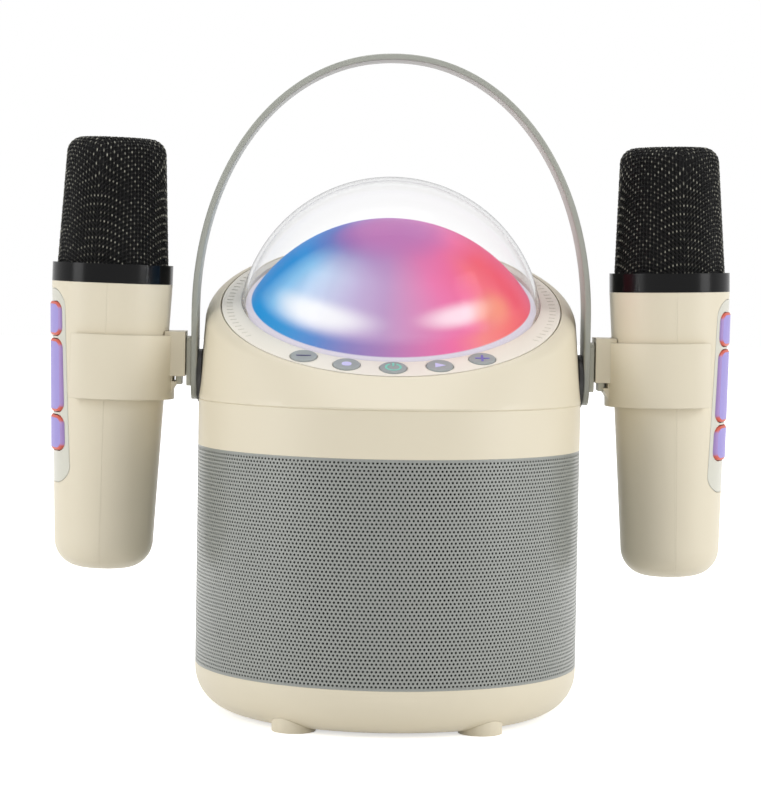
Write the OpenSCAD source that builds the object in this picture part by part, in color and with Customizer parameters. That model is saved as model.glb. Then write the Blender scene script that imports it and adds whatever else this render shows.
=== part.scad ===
// Portable karaoke speaker: a drum with a slanted light dome on top, a bail handle
// and two wireless microphones hanging in clips at its sides.
// X to the right, Y to the back, Z up, origin on the floor under the drum's centre.

/* [Drum] */
// Outer diameter of the drum
body_d = 130; // [126:1:136]
// Height of the feet
foot_h = 0.8; // [0.6:0.1:2]
// Diameter of one foot
foot_d = 14.5; // [12:0.5:16]
// Height of the base cup above the feet
base_h = 15.7; // [15:0.1:18]
// Radius of the base cup's bottom edge
base_round = 14; // [10:0.5:14]
// Height of the perforated sleeve
sleeve_h = 74; // [70:1:84]
// Height of the plain band above the sleeve
band_h = 15.5; // [14:0.5:20]
// Wall of the moulded shells
shell_t = 2.4; // [2:0.1:2.6]
// Thickness of the perforated sheet
sleeve_t = 0.8; // [0.6:0.1:1]

/* [Control ring] */
// Slant of the control ring
slant = 22.14; // [18:0.5:24]
// Height of the ring's centre above the parting line
ring_rise = 32.25; // [31:0.25:36]
// Width of the soft rim round the ivory ring
ring_margin = 7.4; // [7:0.1:9]
// Width of the dark groove round the ring
groove_w = 0.4; // [0.3:0.1:0.8]
// Thickness of the ring
ring_t = 1.8; // [1.4:0.1:2.2]
// Radius of the soft rim outside the groove
rim_r = 6; // [5:0.25:7]
// Thickness of the deck under the ring
deck_t = 1.6; // [1.4:0.1:2]
// How far the dome sits towards the back
dome_back = 4.7; // [4:0.1:5]

/* [Light dome] */
// Mean width of the ivory ring round the clear dome
dome_margin = 6.5; // [6.1:0.1:8]
// Height of the clear dome above the ring
dome_h = 41.4; // [34:0.2:46]
// Wall of the clear dome
dome_t = 1.2; // [1:0.1:2]
// How far the diffuser cap's edge lies inside the dome's foot
diffuser_inset = 3.5; // [2.9:0.1:5]
// Height of the diffuser cap
diffuser_h = 26; // [18:0.5:28]
// Wall of the diffuser cap
diffuser_t = 1.6; // [1.2:0.1:2]

/* [Buttons] */
// Diameter of a push button
button_d = 8.8; // [8:0.1:9]
// Angle between neighbouring buttons
button_step = 15.6; // [14.5:0.1:17]
// Travel of a push button
button_travel = 0.8; // [0.5:0.1:0.8]
// How far a button stands above the ring
button_proud = 0.45; // [0.3:0.05:0.8]
// Gap round a button
button_gap = 0.2; // [0.15:0.05:0.3]

/* [Handle] */
// Distance from the drum's side to the arch's outer side
arch_stand = 2.5; // [2:0.1:3]
// Height of the top of the arch above the pivots
arch_rise = 109.5; // [96:0.5:120]
// Height of the widest place above the pivots
arch_waist = 20.5; // [16:0.5:26]
// Roundness of the arch: 2 is an ellipse, more is squarer
arch_power = 2.08; // [2:0.02:2.3]
// Width of the strap
strap_w = 16.4; // [14:0.2:17]
// Thickness of the strap
strap_t = 2.1; // [1.8:0.1:2.3]
// Height of the pivots above the parting line
pivot_rise = 7.5; // [7.5:0.25:9]
// Diameter of the pivot studs
stud_d = 5; // [4:0.5:6]
// Diameter of the friction washers
washer_d = 18; // [16.6:0.2:18]
// Thickness of the friction washers
washer_t = 1.4; // [1.2:0.1:1.5]

/* [Hangers and clips] */
// Thickness of the hanger plates
hanger_t = 1.5; // [1.2:0.1:1.8]
// Width of the hanger plates
hanger_w = 12; // [10:0.5:13]
// Height of the hanger plates
hanger_h = 16.7; // [15:0.1:18]
// Width of the rail's head
rail_w = 9; // [8:0.5:9.5]
// Clearance of the clip on the rail
rail_gap = 0.3; // [0.2:0.05:0.4]
// Height of the clip ring
clip_h = 21.6; // [18:0.2:24]
// Outer diameter of the clip ring
clip_d = 44.4; // [43.6:0.2:46]
// Half the angle that the clip ring spans
clip_half = 122; // [112:1:128]
// Width of the clip's block
block_w = 15; // [14:0.5:16]

/* [Microphones] */
// Length of a microphone
mic_len = 145.9; // [142:0.1:150]
// Length of the wire head
head_len = 42.6; // [38:0.2:46]
// Height of the collar
collar_h = 6.4; // [5:0.2:7]
// Diameter of the collar
collar_d = 40.8; // [40.8:0.1:42]
// Half taper angle of the body
mic_taper = 2.15; // [1.8:0.05:2.5]
// Radius of the body's bottom edge
mic_round = 9.5; // [7:0.5:11]
// Wall of the body
mic_t = 2; // [1.6:0.1:2.2]
// Diameter of the wire head at its foot
head_d = 37.6; // [36:0.2:38.4]
// Diameter of the wire head near its top
head_top_d = 33.8; // [32:0.2:35]
// Lean of the microphones towards the handle
mic_lean = 1.3; // [0.6:0.1:2]
// How far a microphone hangs below the pivots
mic_drop = 65.9; // [62:0.1:69]
// Distance from a hanger plate to the axis of a microphone at its lower end
mic_reach = 27.95; // [27.9:0.05:29]
// Width of the three keys
key_w = 24.5; // [20:0.5:25]
// Travel of a key
key_travel = 0.6; // [0.4:0.1:0.7]
// How far a key stands above the panel
key_proud = 0.6; // [0.4:0.1:0.9]
// Gap round a key
key_gap = 0.3; // [0.25:0.05:0.4]

/* [Hidden] */

$fn = 96;
far = 400;            // longer than anything in the model
slip = 0.1;           // gap between two pieces that are pushed together
seam = 0.2;           // chamfer at each side of the parting line
cut = 1;              // how far a cutter runs past a face

cream = "#dcd4bb";
ivory = "#f6f3e8";
grey = "#9b9d94";
dark = "#2a2a2c";
steel = "#a6a9a4";
lavender = "#9a8fd0";
green_board = "#3f6b4a";

// ---- heights of the drum, from the floor up
body_r = body_d / 2;
base_z = foot_h;
sleeve_z = base_z + base_h;
band_z = sleeve_z + sleeve_h;
part_z = band_z + band_h;
pivot_z = part_z + pivot_rise;
ring_z = part_z + ring_rise;

// ---- base cup
base_floor = 2.5;
cup_wall = 1.8;                       // thin upper wall, which carries the sleeve
frame_foot_z = sleeve_z - 3;          // step on which the inner frame stands
foot_r = body_r - 11.4;               // radius of the feet and of the posts above them
foot_over = foot_r + foot_d / 2 - body_r + base_round;
foot_top = base_round - sqrt(pow(base_round, 2) - pow(foot_over, 2)) + 0.5;
foot_angles = [55.4, 124.6, 235.4, 304.6];
post_d = 8;
rib_t = 2.4;
screw_d = 3;
screw_head_d = 5.6;
screw_head_h = 2;
screw_hole_d = screw_d + 0.3;
screw_pilot_d = screw_d + 0.1;
seat_h = 4;                           // depth of the base screws' seats
base_screw_len = 16;
post_hole = 14;                       // depth of the screw holes in the frame's posts

// ---- inner frame
frame_t = 2.4;
frame_r = body_r - cup_wall - 0.2;
frame_in_r = frame_r - frame_t;
cloth_t = 0.5;
driver_z = (sleeve_z + band_z) / 2;
driver_r = 0.446 * body_r;
driver_flange_t = 2;
driver_hole_r = driver_r - 5;
magnet_r = driver_r - 9;
magnet_h = 11;
pole_h = 6;
hub_r = 8;                            // hole in the basket's back
basket_depth = 15;
basket_slot_w = 8;
driver_screw_r = driver_r - 2.4;
driver_screw_d = 2.6;
driver_screw_head_d = 4.6;
driver_screw_head_h = 1.4;
driver_screw_len = 7;
driver_screw_angles = [45 : 90 : 315];
baffle_y = body_r - 12;               // front face of the driver's baffle
baffle_t = 3;
baffle_half = driver_r + 5;
window_half = driver_r + 2;
window_margin = 6.5;                  // frame left above and below each window

// ---- battery
cell_d = 18.4;
cell_len = 65;
tray_t = 2;
tray_wall_h = 12;

// ---- band housing and boards
case_post_r = body_r - 9;
case_angles = [20, 160, 200, 340];
case_post_d = 7;
case_post_rise = 8;                   // height of the upper posts above the parting line
case_rib_t = 3;
case_screw_grip = 10;                 // how far the case screws go into their posts
cable_hole_d = 10;
cable_hole_y = body_r - 27;
board_t = 1.6;
standoff_h = 4;
standoff_d = 6;
main_board_w = 66;
main_board_l = 56;
board_inset = 4;                      // from a board's edges to its standoffs
chip_w = 14;
chip_h = 1.6;
coil_w = 9;
coil_h = 3;
can_d = 6.3;
can_h = 5;
port_w = 34;
port_h = 9;
port_mid_z = band_z + shell_t + port_h / 2 + 0.8;
port_sunk = 0.4;                      // how far the port panel lies behind the drum's side
port_board_y = body_r - 11;
socket_t = 0.6;
socket_depth = 3.6;
// x, width and height of each opening: charging port, sound input, card slot
port_holes = [[-11, 9.4, 3.6], [0, 4.2, 4.2], [10.4, 12, 1.6]];

// ---- control ring, in the slanted frame whose origin is the ring's centre
ring_r = body_r - ring_margin;
recess_r = ring_r + groove_w;
rim_track = recess_r - 0.8;           // centre circle of the soft rim
deck_low = -ring_t - deck_t;          // underside of the deck
dome_r = ring_r - dome_margin;
dome_ball = (dome_h * dome_h + dome_r * dome_r) / (2 * dome_h);
dome_sunk = dome_ball - dome_h;
diffuser_r = dome_r - diffuser_inset;
diffuser_ball = (diffuser_h * diffuser_h + diffuser_r * diffuser_r) / (2 * diffuser_h);
diffuser_sunk = diffuser_ball - diffuser_h;
deck_open_r = diffuser_r - 3.2;

// ---- push buttons: on a circle about the dome, just outside its foot
button_r = button_d / 2;
button_web = 0.35;                    // ring left between the dome and a button's hole
button_track = dome_r + slip + button_web + button_gap + button_r;
button_edge = 0.35;
button_flange = 1.2;
button_flange_r = button_r + 0.9;
button_low = deck_low - slip - button_flange;
stem_r = 1.5;
stem_len = 2.3;
switch_r = 3;
switch_h = 0.9;
light_board_top = button_low - stem_len - button_travel - slip - switch_h;
light_board_r = recess_r - 3;
pillar_d = 5;
pillar_r = recess_r - 6;
pillar_angles = [0, 90, 180, 225, 315];
board_screw_d = 1.8;
board_screw_head_d = 3.6;
board_screw_head_h = 1.2;
board_screw_grip = 4;
lamp_w = 5;
lamp_h = 1.5;
// how many lamps, at which share of the diffuser's radius
lamp_rings = [[1, 0], [6, 0.31], [12, 0.64]];

// ---- handle and pivots: x grows outwards from the drum
arch_half = body_r + arch_stand;
strap_in = arch_half - strap_t;
washer_out = strap_in - slip;
washer_in = washer_out - washer_t;
boss_in = washer_in - 7;
boss_d = 14;
stud_hole_d = stud_d + 0.2;
pivot_screw_d = 2.5;
pivot_screw_head_d = 9;
pivot_screw_head_h = 2;
pivot_screw_len = 7;
hanger_in = arch_half + slip;
hanger_out = hanger_in + hanger_t;
hanger_low = pivot_z - 3.5;
hanger_round = 2;
arch_steps = 64;

// ---- T rail and clip
rail_neck_w = 4;
rail_neck_t = 1.7;
rail_head_t = 2;
rail_low = hanger_low + 0.4;
rail_high = hanger_low + hanger_h - 1.7;
rail_neck_low = rail_low + 4;
clip_low = pivot_z - 7.7;
clip_gap = 0.35;                      // between a clip's bore and its microphone
block_low = hanger_low + 3.3;
block_high = block_low + 15.1;
block_in = hanger_out + 0.4;
block_out = hanger_out + 6;           // where the block runs into the clip's ring
gusset_w = 12;
gusset_drop = 1.8;

// ---- microphone, in its own frame: z along its axis, x out of its key face
mic_out = hanger_out + mic_reach;
mic_floor = pivot_z - mic_drop;
mic_body_len = mic_len - head_len - collar_h;
collar_z = mic_body_len;
head_z = collar_z + collar_h;
mic_top_r = collar_d / 2;
mic_low_r = mic_top_r - mic_body_len * tan(mic_taper);
panel_t = 1.2;
panel_gap = 0.15;
panel_round = 6;
panel_half_w = 13.8;
panel_low = 29;
panel_high = mic_body_len - 2.6;
key_t = 1.6;
key_round = 3;
// lower and upper end of each key, along the microphone
key_spans = [[78.6, 89.9], [52.9, 77.3], [39.9, 51.6]];
mic_board_x = 2;
mic_board_half = 11.5;
mic_board_t = 1.2;
mic_board_low = 27;
mic_board_len = 66;
plunger_r = 2;
key_switch_r = 2.6;
key_switch_h = 1.2;
mic_cell_d = 14;
mic_cell_len = 50;
mic_cell_low = 35;
mic_cell_x = mic_board_x - mic_cell_d / 2 - 0.2;
mic_post_d = 3.4;
mic_post_y = 9.6;
mic_post_spots = [34, 86];
collar_floor = 2.5;
collar_wall = 3.4;
wire_hole_d = 5;
head_round = 5.5;
head_t = 0.8;
foam_t = 3;
foam_gap = 0.3;
capsule_d = 16;
capsule_h = 9;
capsule_stem_d = 9;
capsule_stem_h = 8;

function mic_r(z) = mic_low_r + z * tan(mic_taper);
function polar(r, a) = [r * cos(a), r * sin(a), 0];
function signed_pow(v, p) = sign(v) * pow(abs(v), p);

// ---- shared shapes

module tube(r_out, r_in, h) {
  difference() {
    cylinder(r = r_out, h = h);
    translate([0, 0, -cut]) cylinder(r = r_in, h = h + 2 * cut);
  }
}

// outline of half a cup: upright wall, rounded lower edge
module cup_outline(r, h, round) {
  square([r - round, h]);
  translate([0, round]) square([r, h - round]);
  intersection() {
    translate([r - round, round]) circle(r = round);
    translate([r - round, 0]) square([round, round]);
  }
}

module rounded_rect(w, h, r) {
  translate([-w / 2 + r, -h / 2]) square([w - 2 * r, h]);
  translate([-w / 2, -h / 2 + r]) square([w, h - 2 * r]);
  for (x = [-1, 1], y = [-1, 1])
    translate([x * (w / 2 - r), y * (h / 2 - r)]) circle(r = r, $fn = 32);
}

// screw with its head's lower face at z = 0 and its shank going down
module screw(d, head_d, head_h, len) {
  difference() {
    cylinder(d = head_d, h = head_h, $fn = 32);
    for (a = [0, 90])
      rotate([0, 0, a]) translate([-head_d * 0.3, -0.35, head_h * 0.5])
        cube([head_d * 0.6, 0.7, head_h]);
  }
  translate([0, 0, -len]) cylinder(d = d, h = len, $fn = 32);
}

// the slanted frame of the control ring
module on_ring() {
  translate([0, 0, ring_z]) rotate([slant, 0, 0]) children();
}

module on_dome() {
  on_ring() translate([0, dome_back, 0]) children();
}

// a cylinder lying along +X
module along_x(x, d, len) {
  translate([x, 0, 0]) rotate([0, 90, 0]) cylinder(d = d, h = len, $fn = 64);
}

module both_sides() {
  children();
  mirror([1, 0, 0]) children();
}

// ---- base

module base_outside() {
  translate([0, 0, base_z]) rotate_extrude() cup_outline(body_r, base_h, base_round);
}

module base_shell() color(cream) {
  inner_r = frame_in_r - 0.1;
  difference() {
    union() {
      difference() {
        base_outside();
        translate([0, 0, base_z + base_floor])
          rotate_extrude() cup_outline(inner_r, base_h, base_round - base_floor);
        translate([0, 0, frame_foot_z]) cylinder(r = body_r - cup_wall, h = base_h);
      }
      intersection() {
        base_outside();
        for (a = foot_angles)
          translate(polar(foot_r, a)) cylinder(d = post_d + 1, h = frame_foot_z);
      }
    }
    for (a = foot_angles)
      translate(polar(foot_r, a)) {
        cylinder(d = screw_hole_d, h = far, $fn = 32);
        cylinder(d = screw_head_d + 0.6, h = base_z + seat_h, $fn = 32);
      }
  }
}

module feet() color(cream) {
  difference() {
    for (a = foot_angles)
      translate(polar(foot_r, a)) cylinder(d = foot_d, h = base_z + foot_top);
    base_outside();
  }
}

module base_screws() color(steel) {
  for (a = foot_angles)
    translate(polar(foot_r, a) + [0, 0, base_z + seat_h]) mirror([0, 0, 1])
      screw(screw_d, screw_head_d, screw_head_h, base_screw_len);
}

// ---- inner frame, sleeve and driver

// a frame whose z points out of the front (side = -1) or the rear (side = 1) baffle
module on_baffle(side) {
  translate([0, side * baffle_y, driver_z]) rotate([-side * 90, 0, 0]) children();
}

module speaker_frame() color(dark) {
  frame_h = band_z - frame_foot_z;
  window_h = frame_h - 2 * window_margin;
  difference() {
    union() {
      difference() {
        translate([0, 0, frame_foot_z]) tube(frame_r, frame_in_r, frame_h);
        for (side = [-1, 1])
          translate([-window_half, side > 0 ? baffle_y : -far, frame_foot_z + window_margin])
            cube([2 * window_half, far - (side > 0 ? 0 : baffle_y), window_h]);
      }
      intersection() {
        translate([0, 0, frame_foot_z]) cylinder(r = frame_r - frame_t / 2, h = frame_h);
        for (side = [-1, 1])
          translate([-baffle_half, side > 0 ? baffle_y - baffle_t : -baffle_y, frame_foot_z])
            cube([2 * baffle_half, baffle_t, frame_h]);
      }
      for (a = foot_angles) {
        translate(polar(foot_r, a) + [0, 0, frame_foot_z]) cylinder(d = post_d, h = frame_h);
        rotate([0, 0, a]) translate([foot_r, -rib_t / 2, frame_foot_z + cut])
          cube([frame_r - frame_t / 2 - foot_r, rib_t, frame_h - 2 * cut]);
      }
    }
    for (side = [-1, 1])
      on_baffle(side) translate([0, 0, -far / 8]) cylinder(r = driver_hole_r, h = far / 4);
    for (a = driver_screw_angles)
      on_baffle(-1) translate(polar(driver_screw_r, a) - [0, 0, driver_screw_len + cut])
        cylinder(d = driver_screw_d + 0.1, h = driver_screw_len + 4 * cut, $fn = 32);
    for (a = foot_angles)
      translate(polar(foot_r, a)) {
        translate([0, 0, frame_foot_z - cut])
          cylinder(d = screw_pilot_d, h = post_hole + cut, $fn = 32);
        translate([0, 0, band_z - post_hole])
          cylinder(d = screw_pilot_d, h = post_hole + cut, $fn = 32);
      }
  }
}

module sleeve() color(steel)
  translate([0, 0, sleeve_z]) tube(body_r, body_r - sleeve_t, sleeve_h);

module dust_cloth() color(dark)
  translate([0, 0, sleeve_z]) tube(frame_r + slip + cloth_t, frame_r + slip, sleeve_h);

module driver_basket() color(dark) on_baffle(-1) {
  difference() {
    rotate_extrude() polygon([
      [driver_hole_r - 1.2, 0], [driver_r, 0], [driver_r, driver_flange_t],
      [driver_hole_r - 2.4, driver_flange_t], [magnet_r - 4.2, 1 - basket_depth],
      [hub_r, 1 - basket_depth], [hub_r, -basket_depth], [magnet_r - 3, -basket_depth]
    ]);
    for (a = driver_screw_angles)
      translate(polar(driver_screw_r, a) - [0, 0, cut])
        cylinder(d = driver_screw_d + 0.3, h = driver_flange_t + 2 * cut, $fn = 32);
    for (a = [0 : 60 : 300])
      rotate([0, 0, a]) translate([magnet_r - 6, -basket_slot_w / 2, 2.5 - basket_depth])
        cube([10, basket_slot_w, basket_depth - 5]);
  }
}

module driver_cone() color("#3a3a3e") on_baffle(-1) {
  lip = driver_hole_r - 2.4;
  rotate_extrude() polygon([
    [6.5, -8], [lip - 3, 1.2], [lip - 2, 2.6], [lip, 3], [lip + 1.4, driver_flange_t],
    [lip + 2.5, driver_flange_t], [lip + 2.5, driver_flange_t + 0.6],
    [lip + 1.8, driver_flange_t + 0.6], [lip, 3.6], [lip - 2.4, 3.2], [lip - 3.6, 1.8],
    [7, -7.2], [4, -5.8], [0, -5.2], [0, -6], [4, -6.8]
  ]);
}

module driver_magnet() color(steel) on_baffle(-1) {
  translate([0, 0, -basket_depth - magnet_h]) cylinder(r = magnet_r, h = magnet_h);
  translate([0, 0, -basket_depth]) cylinder(r = hub_r - 0.4, h = pole_h);
}

module driver_screws() color(steel) on_baffle(-1)
  for (a = driver_screw_angles)
    translate(polar(driver_screw_r, a) + [0, 0, driver_flange_t])
      screw(driver_screw_d, driver_screw_head_d, driver_screw_head_h, driver_screw_len);

module radiator() color("#3a3a3e") on_baffle(1) {
  edge = driver_hole_r;
  roll = edge - 3.5;
  rotate_extrude() polygon([
    [0, -2], [edge - 7, -2], [edge - 7, 0.6], [roll - 2, 2.4], [roll, 3], [roll + 2, 2.4],
    [edge, 0], [driver_r, 0], [driver_r, 1.4], [edge + 0.6, 1.4], [edge - 1, 3.2],
    [roll, 3.9], [roll - 2.5, 3.2], [edge - 7.6, 1.2], [0, 1.2]
  ]);
}

// ---- battery

module battery_tray() color(dark) {
  floor_z = base_z + base_floor;
  depth = 2 * cell_d + 1;
  translate([-cell_len / 2 - tray_t - slip, -depth / 2, floor_z]) {
    cube([cell_len + 2 * (tray_t + slip), depth, tray_t]);
    for (x = [0, cell_len + tray_t + 2 * slip])
      translate([x, 0, 0]) cube([tray_t, depth, tray_wall_h]);
  }
}

module battery_cells() color("#3f6fae")
  for (side = [-1, 1])
    translate([-cell_len / 2, side * (cell_d / 2 + slip), base_z + base_floor + tray_t + cell_d / 2])
      rotate([0, 90, 0]) cylinder(d = cell_d, h = cell_len);

// ---- band housing, boards and ports

module spot_faces() {
  both_sides() translate([0, 0, pivot_z]) along_x(washer_in, washer_d + 0.6, far);
}

module port_window(gap) {
  translate([-port_w / 2 - gap, body_r / 2, port_mid_z - port_h / 2])
    cube([port_w + 2 * gap, body_r, port_h + gap]);
}

module band_housing() color(cream) {
  difference() {
    union() {
      translate([0, 0, band_z]) tube(body_r, body_r - shell_t, band_h - seam);
      translate([0, 0, part_z - seam])
        difference() {
          cylinder(r1 = body_r, r2 = body_r - seam, h = seam);
          translate([0, 0, -cut]) cylinder(r = body_r - shell_t, h = seam + 2 * cut);
        }
      translate([0, 0, band_z]) cylinder(r = body_r - shell_t / 2, h = shell_t);
      for (x = [-1, 1], y = [-1, 1])
        translate([x * (main_board_w / 2 - board_inset), y * (main_board_l / 2 - board_inset), band_z])
          cylinder(d = standoff_d, h = shell_t + standoff_h, $fn = 48);
    }
    for (a = foot_angles)
      translate(polar(foot_r, a)) cylinder(d = screw_hole_d, h = far, $fn = 32);
    for (a = case_angles)
      translate(polar(case_post_r, a)) cylinder(d = screw_hole_d, h = far, $fn = 32);
    translate([0, cable_hole_y, 0]) cylinder(d = cable_hole_d, h = far);
    port_window(0.2);
    spot_faces();
  }
}

// lower four go down into the inner frame, upper four go up into the top shell
module case_screws() color(steel) {
  for (a = foot_angles)
    translate(polar(foot_r, a) + [0, 0, band_z + shell_t])
      screw(screw_d, screw_head_d, screw_head_h, shell_t + case_screw_grip);
  for (a = case_angles)
    translate(polar(case_post_r, a) + [0, 0, band_z]) mirror([0, 0, 1])
      screw(screw_d, screw_head_d, screw_head_h, shell_t + case_screw_grip);
}

module main_board() color(green_board) {
  z = band_z + shell_t + standoff_h;
  translate([-main_board_w / 2, -main_board_l / 2, z]) cube([main_board_w, main_board_l, board_t]);
  translate([-0.3 * main_board_w, -main_board_l / 4, z + board_t]) cube([chip_w, chip_w, chip_h]);
  translate([0.1 * main_board_w, -main_board_l / 3, z + board_t]) cube([coil_w, coil_w, coil_h]);
  for (i = [0 : 3])
    translate([(0.18 * i - 0.36) * main_board_w, main_board_l / 4, z + board_t])
      cylinder(d = can_d, h = can_h, $fn = 32);
}

module port_panel() color(dark) {
  difference() {
    intersection() {
      translate([0, 0, band_z]) tube(body_r - port_sunk, body_r - shell_t, band_h);
      port_window(0);
    }
    for (p = port_holes)
      translate([p[0], body_r, port_mid_z]) rotate([90, 0, 0])
        linear_extrude(height = body_r / 2) rounded_rect(p[1], p[2], 0.49 * p[2]);
  }
}

module port_board() color(green_board) {
  floor_z = band_z + shell_t;
  translate([-port_w / 2, port_board_y, floor_z]) cube([port_w, board_t, port_h + board_t]);
  for (p = port_holes)
    translate([p[0] - p[1] / 2, port_board_y + board_t, port_mid_z - p[2] / 2])
      difference() {
        translate([-socket_t, 0, -socket_t])
          cube([p[1] + 2 * socket_t, socket_depth, p[2] + 2 * socket_t]);
        translate([0, cut, 0]) cube([p[1], socket_depth, p[2]]);
      }
}

// ---- top shell and light

// upright circle at the parting line blended into the slanted soft rim
module top_blend(r_low, z_low, rim) {
  hull() {
    translate([0, 0, z_low]) cylinder(r1 = r_low - seam, r2 = r_low, h = seam);
    translate([0, 0, z_low + seam]) cylinder(r = r_low, h = 0.5);
    on_ring() translate([0, 0, -rim_r])
      rotate_extrude() translate([rim_track, 0]) circle(r = rim, $fn = 48);
  }
}

module top_shell() color(cream) {
  post_z = band_z + shell_t;
  difference() {
    union() {
      difference() {
        top_blend(body_r, part_z, rim_r);
        top_blend(body_r - shell_t, part_z - cut, rim_r - ring_t - deck_t);
        translate([0, 0, part_z - far]) cylinder(r = far / 2, h = far);
      }
      for (a = case_angles) {
        translate(polar(case_post_r, a) + [0, 0, post_z])
          cylinder(d = case_post_d, h = part_z + case_post_rise - post_z);
        rotate([0, 0, a]) translate([case_post_r, -case_rib_t / 2, part_z + cut])
          cube([body_r - shell_t / 2 - case_post_r, case_rib_t, case_post_rise - 2 * cut]);
      }
      both_sides() translate([0, 0, pivot_z]) along_x(boss_in, boss_d, washer_in - boss_in);
      for (a = pillar_angles)
        on_ring() translate(polar(pillar_r, a) + [0, 0, light_board_top])
          cylinder(d = pillar_d, h = deck_low + 0.2 - light_board_top, $fn = 32);
    }
    on_ring() translate([0, 0, -ring_t]) cylinder(r = recess_r, h = far);
    on_dome() translate([0, 0, -far / 2]) cylinder(r = deck_open_r, h = far);
    for (i = [-2 : 2])
      on_button(i) translate([0, 0, deck_low - cut])
        cylinder(r = button_r + button_gap, h = 2 * cut - deck_low, $fn = 64);
    for (a = pillar_angles)
      on_ring() translate(polar(pillar_r, a) + [0, 0, light_board_top - cut])
        cylinder(d = board_screw_d + 0.1, h = board_screw_grip + 2 * cut, $fn = 32);
    for (a = case_angles)
      translate(polar(case_post_r, a) + [0, 0, post_z - cut])
        cylinder(d = screw_pilot_d, h = case_screw_grip + 3 * cut, $fn = 32);
    spot_faces();
    both_sides() translate([0, 0, pivot_z])
      along_x(boss_in - cut, stud_hole_d, washer_in - boss_in + 2 * cut);
  }
}

module on_button(i) {
  on_dome() rotate([0, 0, -90 + i * button_step]) translate([button_track, 0, 0]) children();
}

module control_ring() color(ivory) {
  difference() {
    on_ring() translate([0, 0, -ring_t]) cylinder(r = ring_r, h = ring_t);
    on_dome() translate([0, 0, -ring_t - cut])
      cylinder(r = dome_r + slip, h = ring_t + 2 * cut);
    for (i = [-2 : 2])
      on_button(i) translate([0, 0, -ring_t - cut])
        cylinder(r = button_r + button_gap, h = ring_t + 2 * cut, $fn = 64);
  }
}

// what a ball and an upright cylinder have in common, from z = low upwards
module ball_part(ball, sunk, r, low) {
  intersection() {
    translate([0, 0, -sunk]) sphere(r = ball);
    translate([0, 0, low]) cylinder(r = r, h = 2 * ball);
  }
}

module dome() color("#dfeef5", 0.4) on_dome() {
  difference() {
    ball_part(dome_ball, dome_sunk, dome_r, -ring_t);
    ball_part(dome_ball - dome_t, dome_sunk, dome_r - dome_t, -ring_t - cut);
  }
}

module diffuser() color("#d79ad0") on_dome() {
  difference() {
    ball_part(diffuser_ball, diffuser_sunk, diffuser_r, -ring_t);
    ball_part(
      diffuser_ball - diffuser_t, diffuser_sunk, diffuser_r - diffuser_t, -ring_t - cut
    );
  }
}

// round board that carries the lamps and, at its front, the five key switches
module light_board() color(green_board) {
  on_ring() translate([0, 0, light_board_top - board_t])
    difference() {
      cylinder(r = light_board_r, h = board_t);
      for (a = pillar_angles)
        translate(polar(pillar_r, a) - [0, 0, cut])
          cylinder(d = board_screw_d + 0.3, h = board_t + 2 * cut, $fn = 32);
    }
  for (i = [-2 : 2])
    on_button(i) translate([0, 0, light_board_top - board_t / 2])
      cylinder(r = switch_r, h = switch_h + board_t / 2, $fn = 48);
}

module lamps() color("#f4f4ea") on_dome()
  for (ring = lamp_rings)
    for (i = [0 : ring[0] - 1])
      rotate([0, 0, i * 360 / ring[0]])
        translate([ring[1] * diffuser_r - lamp_w / 2, -lamp_w / 2, light_board_top])
          cube([lamp_w, lamp_w, lamp_h]);

module board_screws() color(steel) on_ring()
  for (a = pillar_angles)
    translate(polar(pillar_r, a) + [0, 0, light_board_top - board_t]) mirror([0, 0, 1])
      screw(board_screw_d, board_screw_head_d, board_screw_head_h, board_t + board_screw_grip);

module push_button(i) color(grey) on_button(i) {
  rotate_extrude($fn = 64) polygon([
    [0, button_low - stem_len], [stem_r, button_low - stem_len], [stem_r, button_low],
    [button_flange_r, button_low], [button_flange_r, button_low + button_flange],
    [button_r, button_low + button_flange], [button_r, button_proud - button_edge],
    [button_r - button_edge, button_proud], [0, button_proud]
  ]);
}

module button_minus() push_button(-2);
module button_mode() push_button(-1);
module button_power() push_button(0);
module button_play() push_button(1);
module button_plus() push_button(2);

// ---- handle and pivots

module washers() color(dark)
  both_sides() translate([0, 0, pivot_z])
    difference() {
      along_x(washer_in, washer_d, washer_t);
      along_x(washer_in - cut, stud_hole_d, washer_t + 2 * cut);
    }

// points of the arch's half ellipse-like curve, from right to left
function arch_points(inset) = [
  for (i = [0 : arch_steps])
    let (a = 180 * i / arch_steps)
    [
      (arch_half - inset) * signed_pow(cos(a), 2 / arch_power),
      arch_waist + (arch_rise - arch_waist - inset) * signed_pow(sin(a), 2 / arch_power)
    ]
];

module handle() color(grey) translate([0, 0, pivot_z]) {
  outer = arch_points(0);
  inner = arch_points(strap_t);
  difference() {
    union() {
      translate([0, strap_w / 2, 0]) rotate([90, 0, 0])
        linear_extrude(height = strap_w)
          polygon(concat(
            [[arch_half, 0]], outer, [[-arch_half, 0], [-strap_in, 0]],
            [for (i = [arch_steps : -1 : 0]) inner[i]], [[strap_in, 0]]
          ));
      both_sides() along_x(strap_in, strap_w, strap_t);
    }
    both_sides() along_x(strap_in - cut, stud_hole_d, strap_t + 2 * cut);
  }
}

module hangers() color(grey) both_sides() {
  translate([hanger_in, 0, hanger_low + hanger_h / 2]) rotate([90, 0, 90])
    linear_extrude(height = hanger_t) rounded_rect(hanger_w, hanger_h, hanger_round);
  translate([hanger_out, -rail_neck_w / 2, rail_neck_low])
    cube([rail_neck_t, rail_neck_w, rail_high - rail_neck_low]);
  translate([hanger_out + rail_neck_t, -rail_w / 2, rail_low])
    cube([rail_head_t, rail_w, rail_high - rail_low]);
  translate([0, 0, pivot_z])
    difference() {
      along_x(boss_in + 0.5, stud_d, hanger_in - boss_in - 0.5);
      along_x(boss_in, pivot_screw_d + 0.1, pivot_screw_len + cut);
    }
}

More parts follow.
